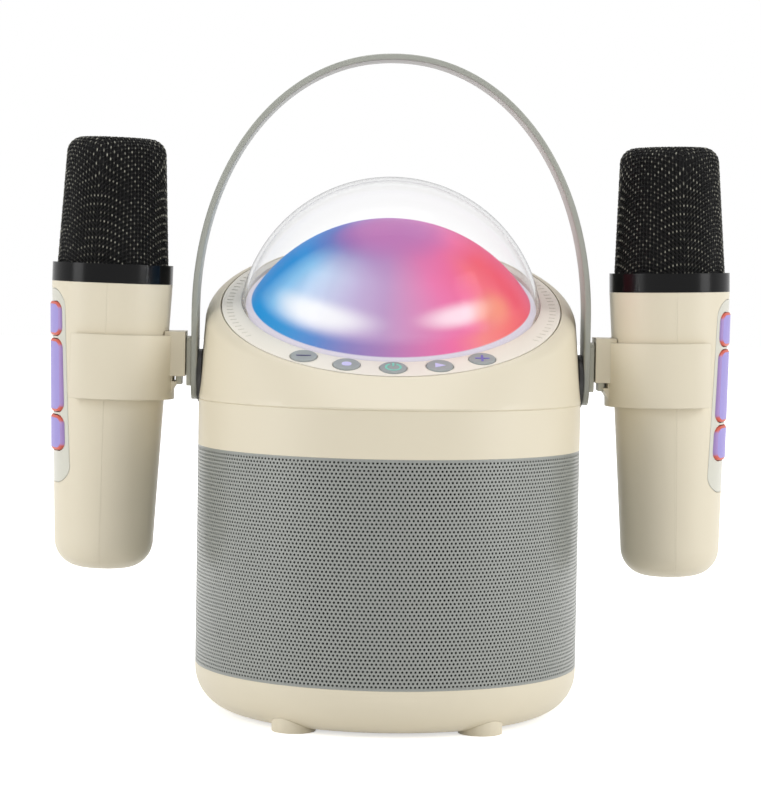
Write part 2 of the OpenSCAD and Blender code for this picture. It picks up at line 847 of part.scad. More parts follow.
module pivot_screws() color(steel) both_sides()
  translate([boss_in, 0, pivot_z]) rotate([0, -90, 0])
    screw(pivot_screw_d, pivot_screw_head_d, pivot_screw_head_h, pivot_screw_len);

// ---- clips

module on_mic() {
  translate([mic_out, 0, mic_floor]) rotate([0, -mic_lean, 0]) children();
}

module clip_right() color(cream) {
  on_mic_low = clip_low - mic_floor;
  bore_h = clip_h + 4 * cut;
  gusset_low = clip_low + 0.4;
  gusset_in = block_out - 1.2;
  difference() {
    union() {
      on_mic() translate([0, 0, on_mic_low]) cylinder(d = clip_d, h = clip_h);
      translate([block_in, -block_w / 2, block_low])
        cube([block_out - block_in + 2, block_w, block_high - block_low]);
      translate([0, gusset_w / 2, 0]) rotate([90, 0, 0]) linear_extrude(height = gusset_w) polygon([
        [block_out + 3, gusset_low], [block_out, gusset_low],
        [gusset_in - 1.9, block_low - gusset_drop], [gusset_in, block_low - gusset_drop],
        [gusset_in, block_low + cut], [block_out + 3, block_low + cut]
      ]);
    }
    // bore with the microphone's own taper, run past the block's upper end
    on_mic() translate([0, 0, on_mic_low - cut])
      cylinder(
        r1 = mic_r(on_mic_low - cut) + clip_gap,
        r2 = mic_r(on_mic_low - cut + bore_h) + clip_gap,
        h = bore_h
      );
    // mouth of the C, on the side of the keys
    on_mic() translate([0, 0, on_mic_low - cut])
      linear_extrude(height = bore_h)
        polygon([
          [0, 0], 40 * [-cos(clip_half), sin(clip_half)],
          [40, 40], [40, -40], 40 * [-cos(clip_half), -sin(clip_half)]
        ]);
    // T slot, open below
    translate([block_in - cut, -rail_neck_w / 2 - rail_gap, 0])
      cube([hanger_out + rail_neck_t + 1 - block_in + cut, rail_neck_w + 2 * rail_gap,
            rail_high + slip]);
    translate([hanger_out + rail_neck_t - rail_gap, -rail_w / 2 - rail_gap, 0])
      cube([rail_head_t + 2 * rail_gap, rail_w + 2 * rail_gap, rail_high + slip]);
  }
}

module clip_left() mirror([1, 0, 0]) clip_right();

// ---- microphone, built at the right and mirrored for the left

// body of revolution with the outer taper, shrunk by inset and run past its top by over
module mic_round_body(inset, over = 0) {
  edge = mic_round - inset;
  edge_x = mic_low_r - mic_round;
  top = mic_body_len + over;
  rotate_extrude()
    intersection() {
      union() {
        square([edge_x, mic_round + cut]);
        translate([edge_x, mic_round]) circle(r = edge);
        polygon([
          [0, mic_round], [edge_x + edge * cos(mic_taper), mic_round - edge * sin(mic_taper)],
          [mic_r(top) - inset, top], [0, top]
        ]);
      }
      translate([0, inset]) square([mic_top_r + cut, top - inset]);
    }
}

// everything inside a rounded outline on the key face, from the axis outwards
module face_window(half_w, z_low, z_high, round) {
  translate([0, 0, (z_low + z_high) / 2]) rotate([90, 0, 90])
    linear_extrude(height = far / 4) rounded_rect(2 * half_w, z_high - z_low, round);
}

module key_windows(gap) {
  for (span = key_spans)
    face_window(key_w / 2 + gap, span[0] - gap, span[1] + gap, key_round + gap);
}

module mic_face_right() color(cream) on_mic() {
  difference() {
    intersection() {
      mic_round_body(0);
      translate([0, -far / 2, -cut]) cube([far, far, far]);
    }
    mic_round_body(mic_t + panel_t, cut);
    difference() {
      face_window(
        panel_half_w + panel_gap, panel_low - panel_gap, panel_high + panel_gap, panel_round
      );
      mic_round_body(panel_t);
    }
    key_windows(key_gap);
  }
}

module mic_back_right() color(cream) on_mic() {
  difference() {
    intersection() {
      mic_round_body(0);
      translate([-far, -far / 2, -cut]) cube([far, far, far]);
    }
    mic_round_body(mic_t, cut);
  }
  intersection() {
    mic_round_body(mic_t / 2);
    for (z = mic_post_spots, y = [-1, 1])
      translate([mic_board_x, y * mic_post_y, z]) rotate([0, -90, 0])
        cylinder(d = mic_post_d, h = far / 4, $fn = 32);
  }
}

module mic_panel_right() color("#d8d6cf") on_mic() {
  difference() {
    intersection() {
      difference() {
        mic_round_body(0);
        mic_round_body(panel_t);
      }
      face_window(panel_half_w, panel_low, panel_high, panel_round);
    }
    key_windows(key_gap);
  }
}

module mic_key(index) color(lavender) on_mic() {
  span = key_spans[index];
  mid = (span[0] + span[1]) / 2;
  difference() {
    intersection() {
      mic_round_body(-key_proud);
      face_window(key_w / 2, span[0], span[1], key_round);
    }
    mic_round_body(key_t - key_proud);
  }
  plunger_x = mic_board_x + mic_board_t + key_switch_h + key_travel + slip;
  translate([plunger_x, 0, mid]) rotate([0, 90, 0])
    cylinder(r = plunger_r, h = mic_r(mid) - key_t + key_proud + 0.2 - plunger_x, $fn = 32);
}

module mic_key_top_right() mic_key(0);
module mic_key_middle_right() mic_key(1);
module mic_key_low_right() mic_key(2);

module mic_collar_right() color(dark) on_mic() translate([0, 0, collar_z]) {
  difference() {
    cylinder(d = collar_d, h = collar_h);
    translate([0, 0, collar_floor]) cylinder(r = collar_d / 2 - collar_wall, h = collar_h);
    translate([0, 0, -cut]) cylinder(d = wire_hole_d, h = collar_h, $fn = 32);
  }
}

// outside of the wire head, shrunk by inset and run past its foot by under
module head_form(inset, under = 0) {
  foot = head_d / 2 - inset;
  top = head_top_d / 2 - inset;
  edge = head_round - inset;
  rotate_extrude() {
    polygon([
      [0, -under], [foot, -under], [foot, 0],
      [top, head_len - head_round], [0, head_len - head_round]
    ]);
    intersection() {
      translate([top - edge, head_len - head_round]) circle(r = edge);
      square([foot, head_len]);
    }
    square([top - edge, head_len - inset]);
  }
}

module mic_head_right() color(dark) on_mic() translate([0, 0, head_z]) {
  difference() {
    head_form(0);
    head_form(head_t, cut);
  }
}

module mic_foam_right() color("#1c1c1e") on_mic() translate([0, 0, head_z]) {
  difference() {
    head_form(head_t + foam_gap);
    head_form(head_t + foam_t, cut);
  }
}

module mic_capsule_right() color(steel) on_mic() translate([0, 0, collar_z + collar_floor]) {
  cylinder(d = capsule_stem_d, h = capsule_stem_h, $fn = 48);
  translate([0, 0, capsule_stem_h]) cylinder(d = capsule_d, h = capsule_h);
}

module mic_board_right() color(green_board) on_mic() {
  translate([mic_board_x, -mic_board_half, mic_board_low])
    cube([mic_board_t, 2 * mic_board_half, mic_board_len]);
  for (span = key_spans)
    translate([mic_board_x + mic_board_t, 0, (span[0] + span[1]) / 2]) rotate([0, 90, 0])
      cylinder(r = key_switch_r, h = key_switch_h, $fn = 32);
}

module mic_cell_right() color("#3f6fae") on_mic()
  translate([mic_cell_x, 0, mic_cell_low]) cylinder(d = mic_cell_d, h = mic_cell_len);

module to_left() {
  mirror([1, 0, 0]) children();
}

module mic_face_left() to_left() mic_face_right();
module mic_back_left() to_left() mic_back_right();
module mic_panel_left() to_left() mic_panel_right();
module mic_key_top_left() to_left() mic_key(0);
module mic_key_middle_left() to_left() mic_key(1);
module mic_key_low_left() to_left() mic_key(2);
module mic_collar_left() to_left() mic_collar_right();
module mic_head_left() to_left() mic_head_right();
module mic_foam_left() to_left() mic_foam_right();
module mic_capsule_left() to_left() mic_capsule_right();
module mic_board_left() to_left() mic_board_right();
module mic_cell_left() to_left() mic_cell_right();

base_shell();
feet();
base_screws();
speaker_frame();
sleeve();
dust_cloth();
driver_basket();
driver_cone();
driver_magnet();
driver_screws();
radiator();
battery_tray();
battery_cells();
band_housing();
case_screws();
main_board();
port_panel();
port_board();
top_shell();
control_ring();
dome();
diffuser();
light_board();
lamps();
board_screws();
button_minus();
button_mode();
button_power();
button_play();
button_plus();
washers();
hangers();
pivot_screws();
handle();
clip_left();
clip_right();
mic_face_left();
mic_back_left();
mic_panel_left();
mic_key_top_left();
mic_key_middle_left();
mic_key_low_left();
mic_collar_left();
mic_head_left();
mic_foam_left();
mic_capsule_left();
mic_board_left();
mic_cell_left();
mic_face_right();
mic_back_right();
mic_panel_right();
mic_key_top_right();
mic_key_middle_right();
mic_key_low_right();
mic_collar_right();
mic_head_right();
mic_foam_right();
mic_capsule_right();
mic_board_right();
mic_cell_right();
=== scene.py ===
# %% [markdown]
# # A drum-shaped speaker with a party light and two microphones
# The speaker is a cream drum with a perforated grey sleeve, a slanted light dome on top, a grey
# strap for a handle and two microphones in clips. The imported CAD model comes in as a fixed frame:
# it gives every size and every joint. This notebook only dresses it, piece by piece, in metres.

# %% Load the frame
import bmesh
import bpy
import numpy as np
from mathutils import Matrix, Vector


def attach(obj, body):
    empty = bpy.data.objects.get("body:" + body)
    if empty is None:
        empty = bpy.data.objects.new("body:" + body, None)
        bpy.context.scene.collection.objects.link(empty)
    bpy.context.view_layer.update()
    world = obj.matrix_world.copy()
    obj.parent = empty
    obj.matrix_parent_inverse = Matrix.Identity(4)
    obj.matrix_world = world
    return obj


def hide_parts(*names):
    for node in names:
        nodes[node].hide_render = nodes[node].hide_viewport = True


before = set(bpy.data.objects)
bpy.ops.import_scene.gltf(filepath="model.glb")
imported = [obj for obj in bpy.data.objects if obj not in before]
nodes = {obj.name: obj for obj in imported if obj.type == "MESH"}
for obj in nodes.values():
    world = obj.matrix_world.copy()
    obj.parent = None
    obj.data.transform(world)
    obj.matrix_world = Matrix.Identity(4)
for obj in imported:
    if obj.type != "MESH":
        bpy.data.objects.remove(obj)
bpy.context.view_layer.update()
scene = bpy.context.scene
scene.view_settings.view_transform = "Standard"
MM = 0.001

# %% [markdown]
# ## The camera
# A long lens a little under a metre away, just above the drum's middle, looking three degrees
# down. It leans by one degree, as the picture does. A track-to constraint would aim it with less
# code, but it would level the camera, so the axes are written out as a matrix instead.

# %% Camera
EYE = np.array([-19.1, -887.4, 153.5]) * MM
FORWARD = np.array([0.0180, 0.9984, -0.0535])
LEAN = 0.0172          # radians
LENS = 117.17          # millimetres, on a 36 mm sensor along the picture's longer side

forward = FORWARD / np.linalg.norm(FORWARD)
level = np.cross(forward, [0, 0, 1])
level /= np.linalg.norm(level)
upright = np.cross(level, forward)
right = np.cos(LEAN) * level + np.sin(LEAN) * upright
up = np.cos(LEAN) * upright - np.sin(LEAN) * level
placed = np.eye(4)
placed[:3, :4] = np.column_stack([right, up, -forward, EYE])
camera_data = bpy.data.cameras.new("camera")
camera_data.lens, camera_data.sensor_width = LENS, 36.0
camera_data.clip_start, camera_data.clip_end = 0.01, 50
camera = bpy.data.objects.new("camera", camera_data)
camera.matrix_world = Matrix(placed.tolist())
scene.collection.objects.link(camera)
scene.camera = camera
print("camera at", EYE, "lens", LENS)

# %% [markdown]
# ## Small helpers
# Colours are picked as sRGB hex values, but shaders compute in linear light, so one function
# converts them. One function adds any shader node with its settings and links. Meshes could be
# built with operators and edit mode, but here they are made from whole numpy arrays: a grid of
# points becomes quads without a loop over its vertices, and every size stays a number in the text.

# %% Colour and node helpers
def linear(hex_colour):
    """sRGB to linear light: divide by 12.92 near black, otherwise a power of 2.4."""
    c = np.array([int(hex_colour[i:i + 2], 16) for i in (1, 3, 5)]) / 255
    c = np.where(c <= 0.04045, c / 12.92, ((c + 0.055) / 1.055) ** 2.4)
    return (*c.tolist(), 1.0)


def add(tree, kind, inputs=None, **settings):
    """Adds one shader node; inputs take a number, a colour or another node's socket."""
    made = tree.nodes.new(kind)
    for key, value in settings.items():
        setattr(made, key, value)
    for key, value in (inputs or {}).items():
        if isinstance(value, bpy.types.NodeSocket):
            tree.links.new(value, made.inputs[key])
        else:
            made.inputs[key].default_value = value
    return made


def blank(name):
    """A material with an empty node tree, and its output node."""
    made = bpy.data.materials.new(name)
    made.use_nodes = True
    made.node_tree.nodes.clear()
    return made, made.node_tree, made.node_tree.nodes.new("ShaderNodeOutputMaterial")


print("helpers ready, mid grey is", round(linear("#808080")[0], 4))

# %% Mesh helpers
WELD, THREAD = 1e-6, 1e-7   # metres: points nearer than this are one, edges shorter are dropped


def mesh_of(name, verts, faces, sharp=40, weld=False):
    """A mesh from vertices in millimetres and four-sided faces. The signed volume, the sum of
    a . (b x c) / 6 over both triangles of each face, tells whether the faces point outwards."""
    verts = np.asarray(verts, float).reshape(-1, 3)
    faces = np.asarray(faces)
    a, b, c, d = (verts[faces[:, k]] for k in range(4))
    if (a * (np.cross(b, c) + np.cross(c, d))).sum() < 0:
        faces = faces[:, ::-1]
    mesh = bpy.data.meshes.new(name)
    mesh.vertices.add(len(verts))
    mesh.vertices.foreach_set("co", (verts * MM).astype(np.float32).ravel())
    mesh.loops.add(faces.size)
    mesh.loops.foreach_set("vertex_index", faces.astype(np.int32).ravel())
    mesh.polygons.add(len(faces))
    starts = np.arange(0, faces.size, 4, dtype=np.int32)
    mesh.polygons.foreach_set("loop_start", starts)
    mesh.update(calc_edges=True)
    if weld:
        work = bmesh.new()
        work.from_mesh(mesh)
        bmesh.ops.remove_doubles(work, verts=work.verts, dist=WELD)
        bmesh.ops.dissolve_degenerate(work, edges=work.edges, dist=THREAD)
        work.to_mesh(mesh)
        work.free()
    mesh.validate()
    mesh.polygons.foreach_set("use_smooth", np.ones(len(mesh.polygons), bool))
    mesh.set_sharp_from_angle(angle=np.radians(sharp))
    return mesh


def quads(rows, columns, wrap_rows=False, wrap_columns=False):
    """Quads between neighbouring points of a rows x columns grid, joined round where asked."""
    i = np.arange(rows if wrap_rows else rows - 1)[:, None]
    j = np.arange(columns if wrap_columns else columns - 1)[None, :]
    i2, j2 = (i + 1) % rows, (j + 1) % columns
    corners = [i * columns + j, i * columns + j2, i2 * columns + j2, i2 * columns + j]
    return np.stack(np.broadcast_arrays(*corners), -1).reshape(-1, 4)


def grid(name, points, wrap_rows=False, wrap_columns=False, sharp=40, weld=False):
    """One surface over an (m, n, 3) grid of points."""
    faces = quads(*points.shape[:2], wrap_rows, wrap_columns)
    return mesh_of(name, points, faces, sharp, weld)


def turned(profile, around=96):
    """Lathe: the point (r, z) of the profile goes to (r cos a, r sin a, z) for a full turn of a."""
    profile = np.asarray(profile, float)
    a = np.linspace(0, 2 * np.pi, around, endpoint=False)
    r, z = profile[:, :1], profile[:, 1:]
    return np.stack([r * np.cos(a), r * np.sin(a), z + 0 * a], -1)


def joined(parts):
    """Several (verts, faces) pairs as one pair, with the later faces' numbers moved on."""
    starts = np.cumsum([0] + [len(v) for v, _ in parts[:-1]])
    return np.vstack([v for v, _ in parts]), np.vstack([f + s for (_, f), s in zip(parts, starts)])


def piece(name, mesh, material, body, slot, *replaced):
    """Links a finished mesh as a piece that rides on a body and stands for CAD nodes."""
    made = bpy.data.objects.new(name, mesh)
    scene.collection.objects.link(made)
    mesh.materials.append(material)
    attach(made, body)
    if replaced:
        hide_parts(*replaced)
    return made


print("mesh helpers ready")

# %% [markdown]
# ## Where things are
# The ring, the dome and the buttons lie in a plane slanted towards the user, and each microphone
# leans a little. Objects could be turned instead, but a finished piece has to sit unturned at the
# origin with its place in its mesh, so three functions carry points into the drum's frame.

# %% Frames of the slanted ring and of the microphones
SLANT = np.radians(22.14)
RING_Z = 138.25        # height of the ring's centre
DOME_BACK = 4.7        # how far the dome sits behind it
BODY_R, SLEEVE_Z, BAND_Z, PART_Z, PIVOT_Z = 65.0, 16.5, 90.5, 106.0, 113.5
MIC_OUT, MIC_FLOOR, MIC_LEAN = 97.05, 47.6, np.radians(1.3)


def on_ring(p):
    """Turns points by the slant about X, then lifts them to the ring's centre."""
    p = np.asarray(p, float)
    x, y, z = p[..., 0], p[..., 1], p[..., 2]
    c, s = np.cos(SLANT), np.sin(SLANT)
    return np.stack([x, y * c - z * s, y * s + z * c + RING_Z], -1)


def on_dome(p):
    """The same, from the dome's own centre, which sits a little towards the back."""
    return on_ring(np.asarray(p, float) + [0, DOME_BACK, 0])


def on_mic(p, side):
    """Leans points about Y and moves them out to the right (side 1) or mirrors them (side -1)."""
    p = np.asarray(p, float)
    x, y, z = p[..., 0], p[..., 1], p[..., 2]
    c, s = np.cos(MIC_LEAN), np.sin(MIC_LEAN)
    return np.stack([side * (x * c - z * s + MIC_OUT), y, x * s + z * c + MIC_FLOOR], -1)


print("ring's front edge at", on_ring([0, -57.6, 0]).round(1))

# %% [markdown]
# ## Moulded plastics
# The shells are ABS moulded in a spark-eroded tool: satin, with a grain of a few tenths of a
# millimetre and a very faint mottle where the resin flowed. A picture of plastic would need
# unwrapping and would stretch, so one recipe serves every moulded colour: noise in Object
# coordinates for the mottle, and finer noise for the grain's bump. A Bevel node rounds the light
# on sharp edges, which is cheaper than cutting a real radius on every edge.

# %% A recipe for moulded plastic
PATCHY = 0.03          # how far the roughness moves


def moulded(name, colour, roughness, grain=0.35, depth=0.004, mottle=0.02, flow=30.0,
            coat=0.0, edge=0.35, level=0.5):
    """Base colour moves by +-mottle over flow millimetres; the bump is noise grain millimetres
    wide and depth millimetres deep. Edges shade as if rounded to a radius of edge millimetres.
    Roughness moves a little with the mottle, as glossier and duller patches do on a real shell."""
    made, tree, out = blank(name)
    place = add(tree, "ShaderNodeTexCoord").outputs["Object"]
    broad = add(tree, "ShaderNodeTexNoise",
                {"Vector": place, "Scale": 1 / (flow * MM), "Detail": 3.0})
    base = np.array(linear(colour))
    tones = [tuple(np.clip(base[:3] * k, 0, 1)) + (1.0,) for k in (1 - mottle, 1 + mottle)]
    tone = add(tree, "ShaderNodeMix",
               {0: broad.outputs[0], 6: tones[0], 7: tones[1]}, data_type="RGBA")
    fine = add(tree, "ShaderNodeTexNoise",
               {"Vector": place, "Scale": 1 / (grain * MM), "Detail": 2.0})
    bump = add(tree, "ShaderNodeBump",
               {"Height": fine.outputs[0], "Strength": 1.0, "Distance": depth * MM})
    if edge:
        eased = add(tree, "ShaderNodeBevel", {"Radius": edge * MM}, samples=4)
        tree.links.new(eased.outputs[0], bump.inputs["Normal"])
    shine = add(tree, "ShaderNodeMapRange",
                {0: broad.outputs[0], 3: roughness - PATCHY, 4: roughness + PATCHY})
    skin = add(tree, "ShaderNodeBsdfPrincipled", {
        "Base Color": tone.outputs[2], "Roughness": shine.outputs[0], "Normal": bump.outputs[0],
        "Coat Weight": coat, "Coat Roughness": 0.15, "Specular IOR Level": level})
    tree.links.new(skin.outputs[0], out.inputs[0])
    return made


cream = moulded("moulded ABS, cream", "#DFD6C0", 0.42)
ivory = moulded("moulded ABS, ivory", "#F0EADD", 0.36, mottle=0.015)
grey = moulded("moulded nylon, warm grey", "#A0A29A", 0.45)
grey_key = moulded("rubber-coated key, grey", "#9BA0A0", 0.5, grain=0.25)
hanger_grey = moulded("moulded nylon, light grey", "#C3C2B4", 0.42)
black_washer = moulded("acetal, black", "#1B1A19", 0.35)
black_plastic = moulded("moulded ABS, black", "#222224", 0.5)
panel_grey = moulded("moulded ABS, pale grey", "#CFCEC2", 0.36)
black_gloss = moulded("polished ABS, black", "#0B0B0C", 0.2, grain=1.2, level=0.15)
cone_paper = moulded("pressed paper, black", "#2B2B2E", 0.8, grain=0.6, depth=0.05, edge=0)
circuit = moulded("solder mask over glass fibre, green", "#2F6B43", 0.3)
cell_wrap = moulded("shrink wrap, blue", "#3F6FAE", 0.25)
lamp_white = moulded("lamp, white body", "#F0EFE4", 0.3)
foam = moulded("open-cell foam, black", "#0F0F10", 0.95, grain=0.6, depth=0.25, edge=0)
cloth = moulded("grille cloth, black", "#0D0E0E", 0.9, grain=0.4, depth=0.1, edge=0)
print("moulded finishes", [m.name for m in bpy.data.materials if "," in m.name][:15])

# %% [markdown]
# ## Painted sheet steel
# The sleeve is perforated steel with a grey-green satin paint. Paint hides the metal, so the
# recipe for plastic serves here too, with a thin clear coat and the faint orange peel of spraying.
# Only the screws, the magnet and the capsules are bare metal. Theirs is a metallic base; drawn
# lines in a bump would be lost at this size, so they go into the roughness.

# %% Painted steel and bare metal
DRAWN = 0.06           # how far the drawn lines move the roughness
sleeve_paint = moulded("sprayed paint on steel, grey", "#949793", 0.38, grain=0.9, coat=0.15,
                       edge=0)


def bare_metal(name, colour, roughness, scratch):
    """Metallic base whose roughness moves with noise stretched along Z, as drawn wire has."""
    made, tree, out = blank(name)
    place = add(tree, "ShaderNodeTexCoord").outputs["Object"]
    pulled = add(tree, "ShaderNodeMapping", {"Vector": place, "Scale": (1.0, 1.0, 0.1)})
    lines = add(tree, "ShaderNodeTexNoise",
                {"Vector": pulled.outputs[0], "Scale": 1 / (scratch * MM), "Detail": 2.0})
    shine = add(tree, "ShaderNodeMapRange",
                {0: lines.outputs[0], 3: roughness - DRAWN, 4: roughness + DRAWN})
    skin = add(tree, "ShaderNodeBsdfPrincipled",
               {"Base Color": linear(colour), "Metallic": 1.0, "Roughness": shine.outputs[0]})
    tree.links.new(skin.outputs[0], out.inputs[0])
    return made


zinc = bare_metal("zinc-plated steel", "#C4C6C8", 0.32, 0.4)
ferrite = bare_metal("nickel-plated magnet", "#8F9194", 0.4, 0.6)
print("metals", zinc.name, ferrite.name)

# %% [markdown]
# ## The finishes that come with the CAD nodes
# Most inner parts and plain shells are shown as the CAD gives them. Each could be dressed by hand,
# but every CAD node carries the name of its material slot, so one table gives each its finish.
# The hangers share a slot with the darker strap and are dressed on their own.

# %% Dress the CAD nodes
FINISH = {
    "cream_shell": cream, "ivory_ring": ivory, "black_plastic": black_plastic,
    "cone_paper": cone_paper, "dust_cloth": cloth, "painted_mesh": sleeve_paint,
    "steel": zinc, "magnet": ferrite, "cell_wrap": cell_wrap, "board": circuit,
    "lamp": lamp_white, "grey_plastic": grey, "washer": black_washer,
    "mic_panel": panel_grey, "black_gloss": black_gloss, "black_wire": black_plastic,
    "foam": foam, "capsule": zinc,
}
for made in nodes.values():
    for slot in made.material_slots:
        slot.material = FINISH.get(slot.material.name.split(".")[0], cream)
nodes["hangers"].material_slots[0].material = hanger_grey
print("dressed", len(nodes), "nodes with", len(FINISH), "finishes")

# %% [markdown]
# ## The slanted top shell
# The shell blends an upright circle into a slanted soft rim. It is the surface that a sheet
# stretched over both would take: for each direction round the drum one plane touches both the
# circle and the rim, and a straight line joins the two touching points. A loft or a subdivided
# cage would come near it, but would bulge between its sections. Here each plane's tilt is found
# by halving an interval, for all directions at once. The wall closes on the inside.

# %% Top shell
RECESS_R, RIM_R, RING_T, DECK_T, DECK_OPEN = 58.0, 6.0, 1.8, 1.6, 44.4
SEAM = 0.2             # chamfer of both edges at the parting line
UPRIGHT = 0.5          # upright strip above that chamfer
LIP = 0.3              # how far below the ring's face the soft rim ends
WALL_R = BODY_R - 2.4  # inner side of the wall
TRACK = RECESS_R - 0.8         # circle on which the soft rim's tube is centred
AROUND, HALVINGS = 288, 50


def blend_rows(r_low, z_low, rim, straight, arc, last):
    """Rows from the circle r_low, z_low up to the rim of tube radius rim, then over the rim to
    the tube angle last. With n the plane's normal, the support of a circle is centre . n +
    radius |n across|; the rim's is that plus rim. The tilt makes both supports equal."""
    a = np.linspace(0, 2 * np.pi, AROUND, endpoint=False)
    m = np.array([0, -np.sin(SLANT), np.cos(SLANT)])
    middle = np.array([0, 0, RING_Z]) - RIM_R * m

    def normal(t):
        return np.stack([np.cos(t) * np.cos(a), np.cos(t) * np.sin(a), np.sin(t)], -1)

    low, high = np.zeros(AROUND), np.full(AROUND, np.pi / 2)
    for _ in range(HALVINGS):
        t = (low + high) / 2
        n = normal(t)
        along = n @ m
        short = n @ middle + TRACK * np.sqrt(1 - along ** 2) + rim < (
            r_low * np.cos(t) + z_low * np.sin(t))
        low, high = np.where(short, t, low), np.where(short, high, t)
    n = normal((low + high) / 2)
    along = n @ m
    out = n - along[:, None] * m
    out /= np.linalg.norm(out, axis=1)[:, None]
    foot = np.stack([r_low * np.cos(a), r_low * np.sin(a), 0 * a + z_low], -1)
    touch = middle + TRACK * out + rim * n
    f = np.linspace(0, 1, straight)[:, None, None]
    rows = [foot + (touch - foot) * f]
    start = np.arcsin(along)
    t = (start + (last - start) * np.linspace(0, 1, arc)[1:, None])[..., None]
    rows.append(middle + (TRACK + rim * np.cos(t)) * out + rim * np.sin(t) * m)
    beta = np.arctan2(out @ np.array([0, np.cos(SLANT), np.sin(SLANT)]), out[:, 0])
    return np.concatenate(rows), beta, a


outer, beta, a = blend_rows(BODY_R, PART_Z + SEAM + UPRIGHT, RIM_R, straight=10, arc=22,
                            last=np.arccos((RECESS_R - TRACK) / RIM_R))
inner, beta_in, _ = blend_rows(WALL_R, PART_Z + 0.1, RIM_R - RING_T - DECK_T, straight=6, arc=8,
                               last=np.pi / 2)


def flat_ring(r, z):
    """One row of the shell: a level circle of radius r at height z."""
    return np.stack([r * np.cos(a), r * np.sin(a), 0 * a + z], -1)[None]


def deck_circle(r, h, angles, shift=0.0):
    """One row of the shell: a circle in the slanted plane, h above the ring's face."""
    x, y = r * np.cos(angles), r * np.sin(angles) + shift
    return on_ring(np.stack([x, y, 0 * angles + h], -1))[None]


shell = np.concatenate([
    flat_ring(BODY_R - SEAM, PART_Z), flat_ring(BODY_R, PART_Z + SEAM), outer,
    deck_circle(RECESS_R, -LIP, beta), deck_circle(RECESS_R, -RING_T, beta),
    deck_circle(DECK_OPEN, -RING_T, beta, DOME_BACK),
    deck_circle(DECK_OPEN, -RING_T - DECK_T, beta_in, DOME_BACK),
    inner[::-1], flat_ring(WALL_R, PART_Z)])
shell_mesh = grid("top_shell_skin", shell, True, True, sharp=30)
top_shell = piece("top_shell_skin", shell_mesh, cream, "speaker", "cream_shell", "top_shell")
print("top shell", shell.shape)

# %% [markdown]
# ## The spot faces
# The friction washers sit in round spot faces milled flat into the shell. The grid could be bent
# to follow that circle, but a turned cutter and a Boolean are simpler and leave the rest of the
# shell alone. The result is kept as plain mesh, so nothing is left to compute later.

# %% Spot faces for the washers
# how far out the flat lies, its radius, and where the cutter ends
SPOT_OUT, SPOT_R, PAST_SHELL = 63.9, 9.3, 90.0
disc = turned([(0, SPOT_OUT), (SPOT_R, SPOT_OUT), (SPOT_R, PAST_SHELL), (0, PAST_SHELL)])
cutters = []
for side in (-1, 1):
    lying = np.stack([side * disc[..., 2], disc[..., 1], disc[..., 0] + PIVOT_Z], -1)
    cutter = bpy.data.objects.new("cutter", grid("cutter", lying, False, True, weld=True))
    scene.collection.objects.link(cutter)
    change = top_shell.modifiers.new("spot face", "BOOLEAN")
    change.operation, change.solver, change.object = "DIFFERENCE", "EXACT", cutter
    cutters.append(cutter)
bpy.context.view_layer.update()
seen = top_shell.evaluated_get(bpy.context.evaluated_depsgraph_get())
cut_mesh = bpy.data.meshes.new_from_object(seen)
top_shell.modifiers.clear()
top_shell.data = cut_mesh
for cutter in cutters:
    bpy.data.objects.remove(cutter)
print("top shell faces", len(cut_mesh.polygons))

# %% [markdown]
# ## The perforated sleeve
# Round holes under a millimetre wide, in staggered rows. A pattern of dots in the material would
# be lighter, but its holes would have no depth at the drum's sides, so they are real. Each hole is
# one hexagonal cell of metal: six outer corners, six at the hole's edge and six at its back. All
# cells are one array, rolled round the drum, in three sectors to keep each piece light. A plain
# rim closes the sheet below and above.

# %% Sleeve
PITCH_COUNT, ROWS, HOLE_R = 292, 60, 0.43
SLEEVE_H, HOLE_DEEP, HOLE_DRAFT = BAND_Z - SLEEVE_Z, 0.6, 0.02
RIM_H, RIM_IN, RIM_OUT = 0.95, BODY_R - 0.8, BODY_R - 0.07
pitch = 2 * np.pi * BODY_R / PITCH_COUNT
row_step = pitch * np.sqrt(3) / 2


def sleeve_sector(first, last):
    """Cell centres at (i + half a step on odd rows, j) times pitch and row step. Corners of the
    cell lie pitch / sqrt 3 away at 30, 90, ... degrees; a flat point (s, z) goes to the angle
    s / radius on the drum."""
    i, j = np.meshgrid(np.arange(first, last), np.arange(ROWS))
    s = ((i + 0.5 * (j % 2)) * pitch).ravel()
    z = (SLEEVE_Z + (SLEEVE_H - (ROWS - 1) * row_step) / 2 + j * row_step).ravel()
    k = np.radians(30 + 60 * np.arange(6))
    size = np.array([pitch / np.sqrt(3), HOLE_R, HOLE_R - HOLE_DRAFT])[:, None]
    flat = np.stack([s[:, None, None] + size * np.cos(k), z[:, None, None] + size * np.sin(k)], -1)
    r = BODY_R - np.array([0.0, 0.0, HOLE_DEEP])[None, :, None]
    angle = flat[..., 0] / BODY_R
    verts = np.stack([r * np.cos(angle), r * np.sin(angle), flat[..., 1]], -1)
    faces = quads(3, 6, False, True) + (np.arange(len(s)) * 18)[:, None, None]
    return verts.reshape(-1, 3), faces.reshape(-1, 4)


